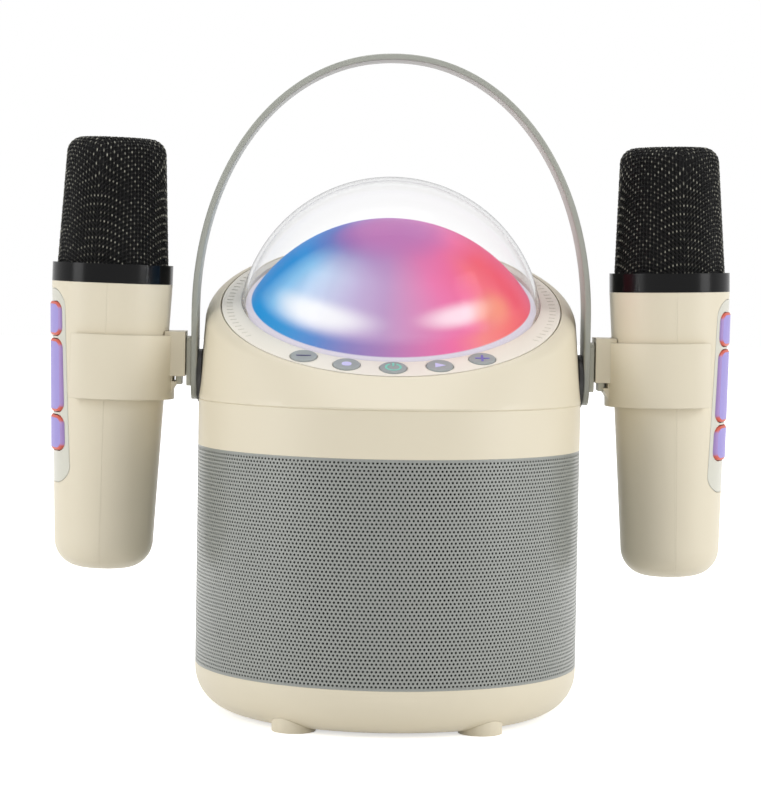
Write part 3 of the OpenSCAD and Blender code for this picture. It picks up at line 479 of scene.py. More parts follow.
cuts = [0, 97, 194, PITCH_COUNT]
for number, (first, last) in enumerate(zip(cuts, cuts[1:])):
    verts, faces = sleeve_sector(first, last)
    mesh = mesh_of(f"sleeve_{number}", verts, faces, sharp=60)
    replaced = ("sleeve",) if number == 0 else ()
    piece(f"sleeve_{number}", mesh, sleeve_paint, "speaker", "painted_mesh", *replaced)
rims = [turned([(RIM_IN, z), (RIM_OUT, z), (RIM_OUT, z + RIM_H), (RIM_IN, z + RIM_H)], AROUND)
        for z in (SLEEVE_Z, BAND_Z - RIM_H)]
verts, faces = joined([(r.reshape(-1, 3), quads(4, AROUND, True, True)) for r in rims])
piece("sleeve_rims", mesh_of("sleeve_rims", verts, faces), sleeve_paint, "speaker", "painted_mesh")
print("holes", PITCH_COUNT * ROWS, "pitch", round(pitch, 3), "mm")

# %% [markdown]
# ## The strap
# A flat bar bent to an arch that is a little squarer than half an ellipse, with round ends on the
# pivots. A curve object with a bevel would keep one section all along; here a rounded rectangle is
# carried along the arch, so that near each end the bar's width can follow a half circle and close
# in a round nose.

# %% Handle
ARCH_HALF, ARCH_RISE, ARCH_WAIST, ARCH_POWER = 67.5, 109.5, 20.5, 2.08
STRAP_W, STRAP_T, EDGE = 16.4, 2.1, 0.55


def arch(angle, inset):
    """x = half width |cos|^(2/p), z = waist + rise |sin|^(2/p), each with its sign."""
    c, s = np.cos(angle), np.sin(angle)
    x = (ARCH_HALF - inset) * np.sign(c) * np.abs(c) ** (2 / ARCH_POWER)
    z = ARCH_WAIST + (ARCH_RISE - ARCH_WAIST - inset) * np.abs(s) ** (2 / ARCH_POWER)
    return np.stack([x, z], -1)


LEG_ROWS = 7           # rows of the straight leg between the nose and the arch
angle = np.linspace(0, np.pi, 181)
nose = np.linspace(np.pi / 2, 0, 15)[:-1]
leg_z = np.concatenate([-STRAP_W / 2 * np.sin(nose), np.linspace(0, ARCH_WAIST, LEG_ROWS + 1)[:-1]])
leg_w = np.concatenate([STRAP_W / 2 * np.cos(nose), np.full(LEG_ROWS, STRAP_W / 2)])
half = np.concatenate([leg_w, np.full(len(angle), STRAP_W / 2), leg_w[::-1]])


def whole(line, x):
    """Adds the straight legs at +x and -x below both ends of the arch."""
    leg = np.stack([np.full(len(leg_z), x), leg_z], -1)
    return np.concatenate([leg, line, (leg * [-1, 1])[::-1]])


outer_line = whole(arch(angle, 0), ARCH_HALF)
inner_line = whole(arch(angle, STRAP_T), ARCH_HALF - STRAP_T)
thick = np.linalg.norm(outer_line - inner_line, axis=1)
turn = np.radians(np.arange(0, 91, 22.5))
corner = np.stack([np.cos(turn), np.sin(turn)], -1)
# the corner's radius shrinks with the nose, and stays just under half of its width
e = np.minimum(EDGE, half * 0.98)[:, None]
section = []
for step, (u, v) in enumerate([(1, 1), (-1, 1), (-1, -1), (1, -1)]):
    bend = corner if step % 2 == 0 else corner[::-1]
    across = u * (thick[:, None] / 2 - e) + u * e * bend[:, 0]
    wide = v * (half[:, None] - e) + v * e * bend[:, 1]
    section.append(np.stack([across + thick[:, None] / 2, wide], -1))
section = np.concatenate(section, 1)
outward = (outer_line - inner_line) / thick[:, None]
spot = inner_line[:, None, :] + section[..., :1] * outward[:, None, :]
strap = np.stack([spot[..., 0], section[..., 1], spot[..., 1] + PIVOT_Z], -1)
strap_mesh = grid("handle_strap", strap, False, True, sharp=50, weld=True)
piece("handle_strap", strap_mesh, grey, "handle", "grey_plastic", "handle")
print("strap rows", len(strap), "top at", strap[..., 2].max().round(2))

# %% [markdown]
# ## The clear dome
# Cast acrylic is almost invisible face on and turns grey towards its rim, where the eye looks along
# the wall. A plain glass shader at acrylic's index of 1.49 shows the lamps as hard bright shapes,
# which the picture doesn't have, so this wall refracts at an index of 1.1. Layer Weight deepens the
# tint at grazing angles and mixes in a plain grey there. This is a painted grey outline, standing
# in for the darker surroundings that the wall would reflect. Shadow and diffuse rays pass straight
# through, or the ring would be too dark.

# %% Clear acrylic
acrylic, tree, out = blank("cast acrylic, clear")
RIM_POWER = 5.0        # a higher power keeps the grey nearer to the outline
facing = add(tree, "ShaderNodeLayerWeight", {"Blend": 0.3}).outputs["Facing"]
edge_on = add(tree, "ShaderNodeMath", {0: facing, 1: RIM_POWER}, operation="POWER")
# painted grey outline: where the wall is seen edge on, the tint darkens and a plain grey diffuse is
# mixed in, for the darker surroundings the wall would reflect
tint_and_painted_outline = add(tree, "ShaderNodeMix",
           {0: edge_on.outputs[0], 6: linear("#FFFFFF"), 7: linear("#5C5E66")}, data_type="RGBA")
skin = add(tree, "ShaderNodeBsdfPrincipled", {
    "Base Color": tint_and_painted_outline.outputs[2], "Roughness": 0.02, "IOR": 1.1, "Transmission Weight": 1.0})
painted_outline_grey = add(tree, "ShaderNodeBsdfDiffuse", {"Color": linear("#85878C")})
painted_outline_mix = add(tree, "ShaderNodeMixShader",
             {0: edge_on.outputs[0], 1: skin.outputs[0], 2: painted_outline_grey.outputs[0]})
see_through = add(tree, "ShaderNodeBsdfTransparent", {"Color": tint_and_painted_outline.outputs[2]})
paths = add(tree, "ShaderNodeLightPath")
unbent = add(tree, "ShaderNodeMath", {0: paths.outputs["Is Shadow Ray"],
                                      1: paths.outputs["Is Diffuse Ray"]}, operation="MAXIMUM")
both = add(tree, "ShaderNodeMixShader",
           {0: unbent.outputs[0], 1: painted_outline_mix.outputs[0], 2: see_through.outputs[0]})
tree.links.new(both.outputs[0], out.inputs[0])
print("acrylic", acrylic.name)

# %% [markdown]
# ## The dome's shape
# Part of a ball with a wall of 1.2 mm. A ball cut by a plane would need its wall from a modifier;
# a turned profile has the wall and the chamfered foot in it, and makes the diffuser too.

# %% Dome
DOME_R, DOME_H, DOME_WALL = 51.1, 41.4, 1.2
FOOT_EDGE = 0.3        # chamfer of the foot's outer edge


def cap_arc(foot_r, height, wall, count):
    """Arc of the ball through the foot circle and the apex: ball radius (h h + r r) / 2h, centre
    below the foot by ball - h. Points run from the foot to the apex, inset by the wall."""
    ball = (height ** 2 + foot_r ** 2) / (2 * height)
    sunk = ball - height
    r = ball - wall
    t = np.linspace(np.arcsin(sunk / r), np.pi / 2, count)
    return np.stack([r * np.cos(t), r * np.sin(t) - sunk], -1)


def cap(foot_r, height, wall, rows, around, foot=None):
    """Closed thin cap: the inner arc from its apex down, the foot ring, the outer arc up. The
    foot stands in the recess of the ring, RING_T below its face."""
    inside = cap_arc(foot_r, height, wall, rows)[::-1]
    outside = cap_arc(foot_r, height, 0.0, rows)
    foot = foot or [(foot_r - wall, -RING_T), (foot_r - FOOT_EDGE, -RING_T),
                    (foot_r, -RING_T + FOOT_EDGE)]
    return turned(np.vstack([inside, foot, outside]), around)


dome_points = on_dome(cap(DOME_R, DOME_H, DOME_WALL, 96, 320))
piece("clear_dome", grid("clear_dome", dome_points, False, True, weld=True), acrylic, "speaker",
      "clear_dome", "dome")
print("dome rows", dome_points.shape)

# %% [markdown]
# ## The diffuser
# The opal cap glows from a ring of lamps: cool ones at the left, pink and orange ones at the right.
# Real lamps behind a scattering wall would light it truly, but slowly and with much noise, so the
# cap gives its own light. Its colour runs round the cap, and three such rounds are blended by
# height: the low rim, the middle and the crown. Over them lie two long soft pale spots and a small
# orange spot beside the right one. The pale spots are painted highlights, where the soft boxes
# reflect in the cap.

# %% Opal diffuser
CAP_R, CAP_H, CAP_WALL = 47.6, 26.0, 1.6
opal, tree, out = blank("opal polycarbonate, lit from behind")
place = add(tree, "ShaderNodeTexCoord").outputs["Object"]
lower = add(tree, "ShaderNodeVectorMath", {0: place, 1: (0, 0, -RING_Z * MM)})
# turned back by the slant, so that Z is the height over the ring
level_place = add(tree, "ShaderNodeVectorRotate", {"Vector": lower.outputs[0],
                  "Angle": -SLANT, "Axis": (1, 0, 0)}, rotation_type="AXIS_ANGLE")
cap_place = add(tree, "ShaderNodeVectorMath",
                {0: level_place.outputs[0], 1: (0, -DOME_BACK * MM, 0)})
parts = add(tree, "ShaderNodeSeparateXYZ", {0: cap_place.outputs[0]})
height = parts.outputs[2]
forwards = add(tree, "ShaderNodeMath", {0: parts.outputs[1], 1: -1.0}, operation="MULTIPLY")
# the angle from the front, growing to the right
turn_on_cap = add(tree, "ShaderNodeMath",
                  {0: parts.outputs[0], 1: forwards.outputs[0]}, operation="ARCTAN2")
share = add(tree, "ShaderNodeMapRange", {0: turn_on_cap.outputs[0], 1: -np.pi, 2: np.pi})


def round_colours(stops):
    """A ramp round the cap, from stops of degrees and colour; both ends lie at the back."""
    ramp = add(tree, "ShaderNodeValToRGB", {0: share.outputs[0]})
    while len(ramp.color_ramp.elements) < len(stops):
        ramp.color_ramp.elements.new(0.5)
    for element, (degrees, colour) in zip(ramp.color_ramp.elements, stops):
        element.position, element.color = (degrees + 180) / 360, linear(colour)
    return ramp.outputs[0]


def by_height(low, high, below, above):
    """Blends two colours from one height in millimetres to another."""
    step = add(tree, "ShaderNodeMapRange",
               {0: height, 1: low * MM, 2: high * MM}, interpolation_type="SMOOTHSTEP")
    return add(tree, "ShaderNodeMix",
               {0: step.outputs[0], 6: below, 7: above}, data_type="RGBA").outputs[2]


rim_colours = round_colours([
    (-180, "#9A78C0"), (-130, "#2C78C4"), (-75, "#148ED2"), (-50, "#3A92D0"), (-34, "#5888CA"),
    (-18, "#8C82BE"), (-4, "#A97EB6"), (12, "#D479AE"), (25, "#EA6FA2"), (40, "#EF8585"),
    (55, "#F07677"), (72, "#EA6472"), (120, "#D8609A"), (180, "#9A78C0")])
middle_colours = round_colours([
    (-180, "#A886C6"), (-130, "#3A7CC4"), (-84, "#1C88CE"), (-66, "#86BFE8"), (-50, "#BCD2EE"),
    (-34, "#C4C6E4"), (-19, "#BFADD4"), (-5, "#BC9AC6"), (11, "#D48CBA"), (26, "#E67AAC"),
    (42, "#EA6E9A"), (58, "#EE7080"), (74, "#E95E70"), (125, "#D8588C"), (180, "#A886C6")])
crown_colours = round_colours([
    (-180, "#B080BC"), (-120, "#6C6CB4"), (-65, "#746AB0"), (-35, "#9C84BA"), (-5, "#B284B8"),
    (25, "#D076AA"), (55, "#E070A6"), (90, "#E878AA"), (180, "#B080BC")])
glow = by_height(2.0, 6.0, rim_colours, middle_colours)
glow = by_height(17.0, 24.5, glow, crown_colours)
glow = by_height(21.5, CAP_H, glow, linear("#B874B0"))     # one colour where all turns meet
glow = by_height(-0.2, 0.2, linear("#D8D2DE"), glow)       # the skirt below is pale
# each spot: angle and height of its centre, half sizes (degrees, millimetres), colour, strength;
# the first two are painted highlights, reflections of the soft boxes, the third a small orange spot
GLOWS_AND_PAINTED_HIGHLIGHTS = [((-37, 8.4), (38, 4.9), "#FFFFFF", 0.8), ((33, 9.2), (27, 4.0), "#FFEAF3", 0.82),
         ((53, 7.5), (19, 6.5), "#F2A27C", 0.65)]
unrolled = add(tree, "ShaderNodeCombineXYZ", {0: turn_on_cap.outputs[0], 1: height})
for (turn_at, high_at), (wide, tall), colour, strength in GLOWS_AND_PAINTED_HIGHLIGHTS:
    away = add(tree, "ShaderNodeVectorMath", {0: unrolled.outputs[0],
               1: (np.radians(turn_at), high_at * MM, 0)}, operation="SUBTRACT")
    scaled = add(tree, "ShaderNodeVectorMath", {0: away.outputs[0],
                 1: (1 / np.radians(wide), 1 / (tall * MM), 0)}, operation="MULTIPLY")
    far_off = add(tree, "ShaderNodeVectorMath", {0: scaled.outputs[0]}, operation="LENGTH")
    near = add(tree, "ShaderNodeMapRange", {0: far_off.outputs["Value"], 1: 0.1, 2: 1.1,
               3: strength, 4: 0.0}, interpolation_type="SMOOTHERSTEP")
    glow = add(tree, "ShaderNodeMix",
               {0: near.outputs[0], 6: glow, 7: linear(colour)}, data_type="RGBA").outputs[2]
HAZE = 9.0             # millimetres: how wide the wall's thicker and thinner patches are
haze = add(tree, "ShaderNodeTexNoise", {"Vector": place, "Scale": 1 / (HAZE * MM), "Detail": 2.0})
dim = add(tree, "ShaderNodeMapRange", {0: haze.outputs[0], 3: 0.76, 4: 0.82})
# the wall's own colour is a quarter of what it gives off
deep = add(tree, "ShaderNodeMix", {0: 0.75, 6: glow, 7: (0, 0, 0, 1)}, data_type="RGBA")
skin = add(tree, "ShaderNodeBsdfPrincipled", {
    "Base Color": deep.outputs[2], "Roughness": 0.5, "IOR": 1.58, "Specular IOR Level": 0.05,
    "Emission Color": glow, "Emission Strength": dim.outputs[0]})
tree.links.new(skin.outputs[0], out.inputs[0])
# the flange on which the cap stands, inside the dome's foot
SKIRT = [(45.5, -RING_T), (49.5, -RING_T), (49.5, -0.6), (49.2, -0.3), (47.9, -0.25)]
cap_points = on_dome(cap(CAP_R, CAP_H, CAP_WALL, 64, 240, SKIRT))
piece("light_cap", grid("light_cap", cap_points, False, True, weld=True), opal, "speaker",
      "diffuser", "diffuser")
print("diffuser glows", len(GLOWS_AND_PAINTED_HIGHLIGHTS))

# %% [markdown]
# ## The push buttons and their marks
# Each key is a turned cap with a shallow dish for the fingertip and a soft edge; a profile turned
# on a lathe gives both with a few points. The marks are generic: minus, mode, power, play and
# plus. They could be drawn in the material, but as thin inlays of light plastic in the dish they
# keep a crisp edge in every view and in the export.

# %% Buttons
BUTTON_TRACK, BUTTON_STEP = 56.15, 15.6
BUTTON_R, PROUD, DISH_R, DISH = 4.4, 0.45, 3.6, 0.15
BUTTON_NAMES = ["button_minus", "button_mode", "button_power", "button_play", "button_plus"]
stem = [(0, -5.6), (1.5, -5.6), (1.5, -4.7), (5.3, -4.7), (5.3, -3.5), (BUTTON_R, -3.5),
        (BUTTON_R, -0.1)]
soft = [(BUTTON_R - PROUD + PROUD * np.cos(t), PROUD * np.sin(t))
        for t in np.radians([0, 22, 45, 68, 90])]
# the dish's depth goes with (1 - (r / R)^2)^1.5, so it is level where it meets the edge
bowl = [(r, PROUD - DISH * (1 - (r / DISH_R) ** 2) ** 1.5) for r in np.linspace(DISH_R, 0, 12)]
key_profile = np.vstack([stem, soft, bowl])


def button_centre(i):
    """On a circle about the dome: -90 degrees, the front, is the middle button's place."""
    t = np.radians(-90 + (i - 2) * BUTTON_STEP)
    return np.array([BUTTON_TRACK * np.cos(t), BUTTON_TRACK * np.sin(t), 0])


for i, name in enumerate(BUTTON_NAMES):
    points = on_dome(turned(key_profile, 72) + button_centre(i))
    piece(name + "_cap", grid(name + "_cap", points, False, True, weld=True), grey_key, name,
          "grey_plastic", name)
print("buttons", BUTTON_NAMES)

# %% Marks on the buttons
MARK_LOW, MARK_HIGH = 0.15, 0.47
HAIR = 0.005           # the plus's second bar is this much higher, so that no two faces coincide


def prism(xy, low=MARK_LOW, high=MARK_HIGH):
    """Walls between the outline at two heights, and a fan to the middle at both ends."""
    n = len(xy)
    middle = xy.mean(0)
    rings = [np.tile(middle, (n, 1)), xy, xy, np.tile(middle, (n, 1))]
    heights = [low, low, high, high]
    points = np.stack([np.column_stack([ring, np.full(n, z)]) for ring, z in zip(rings, heights)])
    return points.reshape(-1, 3), quads(4, n, False, True)


def bar(x0, x1, y0, y1, low=MARK_LOW, high=MARK_HIGH):
    """A flat bar: the prism over a rectangle."""
    return prism(np.array([(x0, y0), (x1, y0), (x1, y1), (x0, y1)], float), low, high)


def hoop(r_in, r_out, start, stop, count=48):
    """Part of a flat ring: the section's four corners carried from one angle to another."""
    t = np.radians(np.linspace(start, stop, count))[:, None]
    r = np.array([r_in, r_out, r_out, r_in])[None, :]
    z = np.array([MARK_LOW, MARK_LOW, MARK_HIGH, MARK_HIGH])[None, :]
    points = np.stack([r * np.cos(t), r * np.sin(t), z + 0 * t], -1)
    ends = np.array([[0, 1, 2, 3], [4 * count - 1, 4 * count - 2, 4 * count - 3, 4 * count - 4]])
    return points.reshape(-1, 3), np.vstack([quads(count, 4, False, True), ends])


def rounded(w, h, r, per=8):
    """Outline of a rectangle with corners of radius r."""
    t = np.radians(np.linspace(0, 90, per))
    corner = [(np.array([sx * (w / 2 - r), sy * (h / 2 - r)]), turn_by) for sx, sy, turn_by in
              ((1, 1, 0), (-1, 1, 90), (-1, -1, 180), (1, -1, 270))]
    return np.vstack([c + r * np.stack([np.cos(t + np.radians(k)), np.sin(t + np.radians(k))], -1)
                      for c, k in corner])


mint = moulded("inlay, mint", "#7CD0BC", 0.35, edge=0)
lilac = moulded("inlay, lilac", "#CFCBF4", 0.35, edge=0)
violet = moulded("inlay, violet", "#6F66BC", 0.35, edge=0)
slate = moulded("inlay, slate violet", "#4A4870", 0.4, edge=0)
play_outline = np.array([(-1.5, -1.7), (1.9, 0.0), (-1.5, 1.7)])
MARKS = {
    "button_minus": (slate, [bar(-2.5, 2.5, -0.35, 0.35)]),
    "button_mode": (lilac, [prism(rounded(3.2, 3.0, 1.4))]),
    "button_power": (mint, [hoop(2.05, 2.75, 115, 425), bar(-0.35, 0.35, 0.9, 3.1)]),
    "button_play": (lilac, [prism(play_outline)]),
    "button_plus": (violet, [bar(-2.4, 2.4, -0.38, 0.38),
                             bar(-0.38, 0.38, -2.4, 2.4, MARK_LOW, MARK_HIGH + HAIR)]),
}
for i, name in enumerate(BUTTON_NAMES):
    finish, shapes = MARKS[name]
    verts, faces = joined(shapes)
    verts = on_dome(verts + button_centre(i))
    piece(name + "_mark", mesh_of(name + "_mark", verts, faces, weld=True), finish, name,
          "grey_plastic")
print("marks", {n: len(s) for n, (_, s) in MARKS.items()})

# %% [markdown]
# ## The ticks
# Small embossed ticks run along both sides of the ivory ring, as on a dial. One tick is a low
# bar; copies of it are turned about the ring's centre and joined into one mesh.

# %% Ticks on the ring
TICK_IN, TICK_OUT, TICK_HALF, TICK_SUNK, TICK_PROUD = 53.9, 56.0, 0.16, -0.2, 0.12
tick, tick_faces = bar(TICK_IN, TICK_OUT, -TICK_HALF, TICK_HALF, TICK_SUNK, TICK_PROUD)


def turned_by(points, angle):
    """Points turned about Z: (x cos - y sin, x sin + y cos, z)."""
    x, y, z = points.T
    c, s = np.cos(angle), np.sin(angle)
    return np.stack([x * c - y * s, x * s + y * c, z], -1)


ticks = [(turned_by(tick, np.radians(middle_angle + step)), tick_faces)
         for middle_angle in (0, 180) for step in np.arange(-30, 31, 3.0)]
verts, faces = joined(ticks)
tick_finish = moulded("moulded ABS, ivory in relief", "#E3DED0", 0.4)
piece("ring_ticks", mesh_of("ring_ticks", on_ring(verts), faces, weld=True), tick_finish,
      "speaker", "ivory_ring")
print("ticks", len(ticks))

# %% [markdown]
# ## The wire heads
# A square wire cloth is drawn over a form. On top it stays a disc of straight rows; down the side
# it splits in four quarters, each with upright wires and cross rows that sag away from the
# quarter's middle, so the rows look like nested arches. A woven bump would give a smooth outline,
# so each wire is a thin square tube that passes over and under the others. The black enamel carries
# painted glints. An attribute marks the wires' crests, and these are painted light grey in patches,
# where the lamps would glint on them.

# %% Enamelled wire
wire_black, tree, out = blank("enamelled steel wire, black")
glint_crest = add(tree, "ShaderNodeAttribute", attribute_name="glint_crest").outputs["Fac"]
painted_glint = add(tree, "ShaderNodeMapRange", {0: glint_crest, 1: 0.55, 2: 1.0, 3: 0.0, 4: 0.75})
place = add(tree, "ShaderNodeTexCoord").outputs["Object"]
GLINT_PATCH = 2.5              # millimetres: how wide the patches of painted glints are
glint_noise = add(tree, "ShaderNodeTexNoise", {"Vector": place, "Scale": 1 / (GLINT_PATCH * MM)})
glint_patches = add(tree, "ShaderNodeMapRange", {0: glint_noise.outputs[0], 1: 0.38, 2: 0.62})
painted_glint = add(tree, "ShaderNodeMath",
           {0: painted_glint.outputs[0], 1: glint_patches.outputs[0]}, operation="MULTIPLY")
# painted glints: the wires' crests turn light grey in patches, where lamps would glint on the black
# enamel
tone = add(tree, "ShaderNodeMix",
           {0: painted_glint.outputs[0], 6: linear("#080808"), 7: linear("#C9C7B8")}, data_type="RGBA")
skin = add(tree, "ShaderNodeBsdfPrincipled",
           {"Base Color": tone.outputs[2], "Roughness": 0.3, "Specular IOR Level": 0.2})
tree.links.new(skin.outputs[0], out.inputs[0])
for side in ("left", "right"):
    nodes["mic_head_" + side].material_slots[0].material = wire_black
print("wire finish", wire_black.name)

# %% Wire head
HEAD_FOOT, HEAD_TOP, HEAD_LEN, HEAD_ROUND = 18.8, 16.9, 42.6, 5.5
HEAD_Z = 103.3         # height of the head's foot over the microphone's lower end
HEAD_FLAT, HEAD_BEND = HEAD_TOP - HEAD_ROUND, HEAD_ROUND * np.pi / 2
HEAD_SIDE = np.hypot(HEAD_LEN - HEAD_ROUND, HEAD_FOOT - HEAD_TOP)
# wire radius, height of its wave, spacing, wires from a quarter's middle to its side, sag
WIRE_R, WAVE, WEAVE, QUARTER, SAG = 0.2, 0.24, 1.4, 11, 8.0
SAG_FROM, SAG_OVER = 10, 16    # the sag starts at this arc length and grows over the next
ROW_SHINE = 0.7        # the cross rows lie a little deeper and get fainter painted glints


def head_profile(l):
    """Arc length from the pole: flat top, then a quarter circle, then the straight side. Gives
    radius, height and the outward normal's two parts."""
    t = np.clip((l - HEAD_FLAT) / HEAD_ROUND, 0, np.pi / 2)
    down = np.clip(l - HEAD_FLAT - HEAD_BEND, 0, None) / HEAD_SIDE
    r = np.clip(l, 0, HEAD_FLAT) + HEAD_ROUND * np.sin(t) + down * (HEAD_FOOT - HEAD_TOP)
    z = HEAD_LEN - HEAD_ROUND * (1 - np.cos(t)) - down * (HEAD_LEN - HEAD_ROUND)
    return r, z, np.sin(t), np.cos(t)


def head_point(l, angle, lift):
    """The profile's point turned to the angle and moved along the normal."""
    r, z, nr, nz = head_profile(l)
    r, z = r + (lift - WIRE_R - WAVE) * nr, z + (lift - WIRE_R - WAVE) * nz
    points = np.stack([r * np.cos(angle), r * np.sin(angle), z], -1)
    normals = np.stack([nr * np.cos(angle), nr * np.sin(angle), nz + 0 * angle], -1)
    return points, normals


def wires(points, normals, closed):
    """Square-section wires: at each point the tangent and the normal give the sideways direction,
    and the four corners lie one wire radius out along the normal and sideways, both ways."""
    m, n = points.shape[:2]
    if closed:
        tangent = np.roll(points, -1, 1) - np.roll(points, 1, 1)
    else:
        tangent = np.gradient(points, axis=1)
    side = np.cross(tangent, normals)
    side /= np.linalg.norm(side, axis=-1, keepdims=True)
    corners = [points + WIRE_R * normals, points + WIRE_R * side,
               points - WIRE_R * normals, points - WIRE_R * side]
    verts = np.stack(corners, 2).reshape(-1, 3)
    one = quads(n, 4, closed, True)
    if not closed:
        last = 4 * n - 4
        one = np.vstack([one, [[3, 2, 1, 0], [last, last + 1, last + 2, last + 3]]])
    faces = (one[None] + (np.arange(m) * 4 * n)[:, None, None]).reshape(-1, 4)
    return verts, faces


def sag(angle_share, row):
    """Cross rows drop with the square of the share of the quarter, fading in over the shoulder."""
    fade = np.clip((row * WEAVE - SAG_FROM) / SAG_OVER, 0, 1)
    return SAG * angle_share ** 2 * fade * fade * (3 - 2 * fade)


length = HEAD_FLAT + HEAD_BEND + HEAD_SIDE
row_count = int(length / WEAVE)


def gathered(l):
    """Arc lengths over 0.8 mm past the head's foot are squeezed to a fiftieth, in the collar."""
    end = length + 0.8
    return np.where(l > end, end + 0.02 * (l - end), l)


tubes, glint_crests = [], []
for row in range(1, row_count + 1):
    share = min(row, QUARTER)
    steps = 10 * share * 2
    t = np.arange(steps) / (steps / 4)
    local = (t + 0.5) % 1 * 2 - 1
    l = gathered(row * WEAVE + sag(local, row))
    lift = -WAVE * np.cos(np.pi * (row + local * share))
    points, normals = head_point(l, t * np.pi / 2, lift)
    tubes.append(wires(points[None], normals[None], True))
    glint_crests.append(np.repeat(lift / WAVE * ROW_SHINE, 4))
for i in range(QUARTER + 1):
    row = np.arange(max(i, 0.5), row_count + 0.6, 0.25)
    share = np.maximum(np.minimum(row, QUARTER), 1e-6)
    local = np.clip(i / share, -1, 1)
    l = gathered(row * WEAVE + sag(local, row))
    lift = WAVE * np.cos(np.pi * (row + i))
    quarter = np.arange(4)[:, None] * np.pi / 2
    for sign in ((1, -1) if 0 < i < QUARTER else (1,)):
        points, normals = head_point(np.tile(l, (4, 1)), quarter + sign * local * np.pi / 4,
                                     np.tile(lift, (4, 1)))
        tubes.append(wires(points, normals, False))
        glint_crests.append(np.tile(np.repeat(lift / WAVE, 4), 4))
verts, faces = joined(tubes)
glint_crests = np.concatenate(glint_crests)
for side, name, head_turn in ((1, "right", np.radians(8.7)), (-1, "left", np.radians(14.5))):
    turned_head = turned_by(verts, head_turn - np.pi / 4) + [0, 0, HEAD_Z]
    mesh = mesh_of(f"wire_head_{name}", on_mic(turned_head, side), faces, sharp=180)
    values = mesh.attributes.new("glint_crest", "FLOAT", "POINT")
    values.data.foreach_set("value", glint_crests.astype(np.float32))
    piece(f"wire_head_{name}", mesh, wire_black, f"mic_{name}", "black_wire", f"mic_head_{name}")
print("wire head quads", len(faces), "rows", row_count)

# %% [markdown]
# ## The microphones' keys
# Soft lilac keys whose slanted edges are orange-red at the ends and faintly so along the long
# sides. Two pieces a key could show that, but the line between them would be too hard, so an
# attribute tells the shader how far a point is over the edge. Each key is a stack of rounded
# outlines laid on the body's cone, so its top follows the body; a flat key would stand off it.

# %% Two-tone silicone
silicone, tree, out = blank("cast silicone, lilac with orange-red edges")
edge = add(tree, "ShaderNodeAttribute", attribute_name="edge").outputs["Fac"]
place = add(tree, "ShaderNodeTexCoord").outputs["Object"]
fine = add(tree, "ShaderNodeTexNoise", {"Vector": place, "Scale": 1 / (0.4 * MM), "Detail": 2.0})
tone = add(tree, "ShaderNodeMix",
           {0: edge, 6: linear("#9C90D2"), 7: linear("#D0604E")}, data_type="RGBA")
bump = add(tree, "ShaderNodeBump",
           {"Height": fine.outputs[0], "Strength": 1.0, "Distance": 0.01 * MM})
skin = add(tree, "ShaderNodeBsdfPrincipled", {"Base Color": tone.outputs[2], "Roughness": 0.45,
           "IOR": 1.42, "Normal": bump.outputs[0]})
tree.links.new(skin.outputs[0], out.inputs[0])
print("silicone", silicone.name)

# %% Keys
TAPER = np.radians(2.15)
NECK_R, NECK_Z = 20.4, 96.9    # the body's radius and height under the collar
MIC_LOW_R = NECK_R - NECK_Z * np.tan(TAPER)
KEY_W, KEY_ROUND, KEY_PROUD = 24.5, 3, 0.6
ORANGE_END = 2.5       # how far from a key's end the orange fades out
ORANGE_SIDE = 0.15     # share of orange along a key's long sides
KEYS = {"top": (78.6, 89.9), "middle": (52.9, 77.3), "low": (39.9, 51.6)}


def on_cone(y, z, height):
    """x on the body's cone, raised by height: the root of radius squared minus y squared."""
    r = MIC_LOW_R + z * np.tan(TAPER) + height
    return np.stack([np.sqrt(np.maximum(r ** 2 - y ** 2, 0)), y, z], -1)


def with_sides(outline, count=12):
    """Puts count points evenly along each straight side of a rounded outline, so that the sides
    can bend round the cone too."""
    arcs = outline.reshape(4, -1, 2)
    f = np.linspace(0, 1, count + 2)[1:-1][None, :, None]
    sides = arcs[:, -1:] * (1 - f) + np.roll(arcs[:, :1], -1, 0) * f
    return np.concatenate([arcs, sides], 1).reshape(-1, 2)


def key_rings(low, high):
    """Rings of one key from its foot up the wall, over the slanted edge and in to the middle."""
    w, h = KEY_W, high - low
    rings, marks = [], []
    for inset, height, orange in ((0.0, -1.0, 1), (0.0, 0.15, 1), (0.2, 0.3, 1), (0.75, 0.58, 1),
                                  (0.87, KEY_PROUD, 0), (1.0, KEY_PROUD, 0)):
        xy = with_sides(rounded(w - inset, h - 2 * inset, KEY_ROUND - inset, 7))
        rings.append(on_cone(xy[:, 0], xy[:, 1] + (low + high) / 2, height))
        marks.append(orange * np.clip(np.abs(xy[:, 1]) - h / 2 + ORANGE_END, ORANGE_SIDE, 1))
    for shrink in np.linspace(0.9, 0, 10):
        xy = with_sides(rounded(w - 1, h - 2, KEY_ROUND - 1, 7)) * shrink
        rings.append(on_cone(xy[:, 0], xy[:, 1] + (low + high) / 2, KEY_PROUD))
        marks.append(0 * xy[:, 0])
    return np.stack(rings), np.stack(marks)


for side, name in ((1, "right"), (-1, "left")):
    for key, (low, high) in KEYS.items():
        rings, marks = key_rings(low, high)
        label = f"mic_key_{key}_{name}"
        mesh = mesh_of(label + "_cap", on_mic(rings, side), quads(*rings.shape[:2], False, True))
        values = mesh.attributes.new("edge", "FLOAT", "POINT")
        values.data.foreach_set("value", marks.ravel().astype(np.float32))
        piece(label + "_cap", mesh, silicone, label, "lavender_key", label)
print("keys", len(KEYS) * 2)

# %% [markdown]
# ## Floor and light
# A plain white sweep. More light would make it white too, but would burn out the cream shells.
# So the floor keeps the object's soft shadow, and the camera, mirrors and glass see it and the
# world lifted to white, more so further out. Two broad soft boxes stand at the left and right
# front and a weaker one overhead, at a level at which a colour renders about as it is written.

# %% Floor
FLOOR_HALF = 4.0       # metres


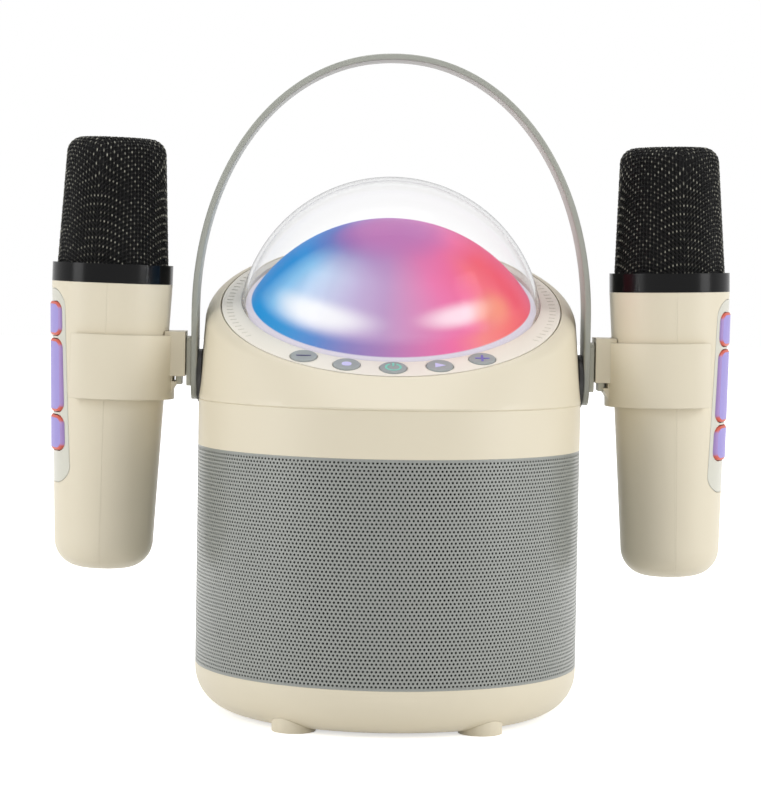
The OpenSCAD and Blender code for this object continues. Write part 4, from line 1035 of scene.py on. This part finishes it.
def seen_directly(tree):
    """1 for rays from the camera and for those that metal and glass send on, 0 for the rest."""
    paths = add(tree, "ShaderNodeLightPath").outputs
    shown = paths["Is Camera Ray"]
    for other in ("Is Glossy Ray", "Is Transmission Ray"):
        shown = add(tree, "ShaderNodeMath",
                    {0: shown, 1: paths[other]}, operation="MAXIMUM").outputs[0]
    return shown


floor_finish, tree, out = blank("studio sweep, white")
place = add(tree, "ShaderNodeTexCoord").outputs["Object"]
away = add(tree, "ShaderNodeVectorMath", {0: place}, operation="LENGTH")
lifted = add(tree, "ShaderNodeMapRange",
             {0: away.outputs["Value"], 1: 0.12, 2: 0.7, 3: 0.6, 4: 1.0})
strength = add(tree, "ShaderNodeMath",
               {0: seen_directly(tree), 1: lifted.outputs[0]}, operation="MULTIPLY")
paper = add(tree, "ShaderNodeBsdfDiffuse", {"Color": linear("#F4F3F0")})
lift = add(tree, "ShaderNodeEmission", {"Color": (1, 1, 1, 1), "Strength": strength.outputs[0]})
both = add(tree, "ShaderNodeAddShader", {0: paper.outputs[0], 1: lift.outputs[0]})
tree.links.new(both.outputs[0], out.inputs[0])
floor_mesh = bpy.data.meshes.new("floor")
floor_mesh.from_pydata([(x * FLOOR_HALF, y * FLOOR_HALF, 0) for x, y in
                        ((-1, -1), (1, -1), (1, 1), (-1, 1))], [], [(0, 1, 2, 3)])
floor_mesh.materials.append(floor_finish)
floor = bpy.data.objects.new("floor", floor_mesh)
scene.collection.objects.link(floor)
print("floor", FLOOR_HALF * 2, "m wide")

# %% World
world = bpy.data.worlds.new("studio")
scene.world = world
world.use_nodes = True
tree = world.node_tree
tree.nodes.clear()
out = tree.nodes.new("ShaderNodeOutputWorld")
SKY_LIGHT, SKY_SEEN = 0.4, 1.0
strength = add(tree, "ShaderNodeMapRange",
               {0: seen_directly(tree), 3: SKY_LIGHT, 4: SKY_SEEN})
sky = add(tree, "ShaderNodeBackground", {"Color": (1, 1, 1, 1), "Strength": strength.outputs[0]})
tree.links.new(sky.outputs[0], out.inputs[0])
print("world ready")

# %% Lamps
AIM = (0, 0, 0.1)      # the drum's middle


def soft_box(name, spot, width, height, watts):
    """A rectangular area lamp that looks from its spot at the drum's middle."""
    data = bpy.data.lights.new(name, "AREA")
    data.shape, data.size, data.size_y, data.energy = "RECTANGLE", width, height, watts
    made = bpy.data.objects.new(name, data)
    made.location = spot
    made.rotation_euler = (Vector(AIM) - Vector(spot)).to_track_quat("-Z", "Y").to_euler()
    scene.collection.objects.link(made)
    return made


soft_box("box_left", (-1.17, -0.52, 0.55), 0.5, 0.9, 7.9)
soft_box("box_right", (1.17, -0.52, 0.55), 0.5, 0.9, 9.0)
soft_box("box_top", (0.0, 0.1, 1.2), 0.8, 0.8, 4.0)

# %% Finish
bpy.context.view_layer.update()
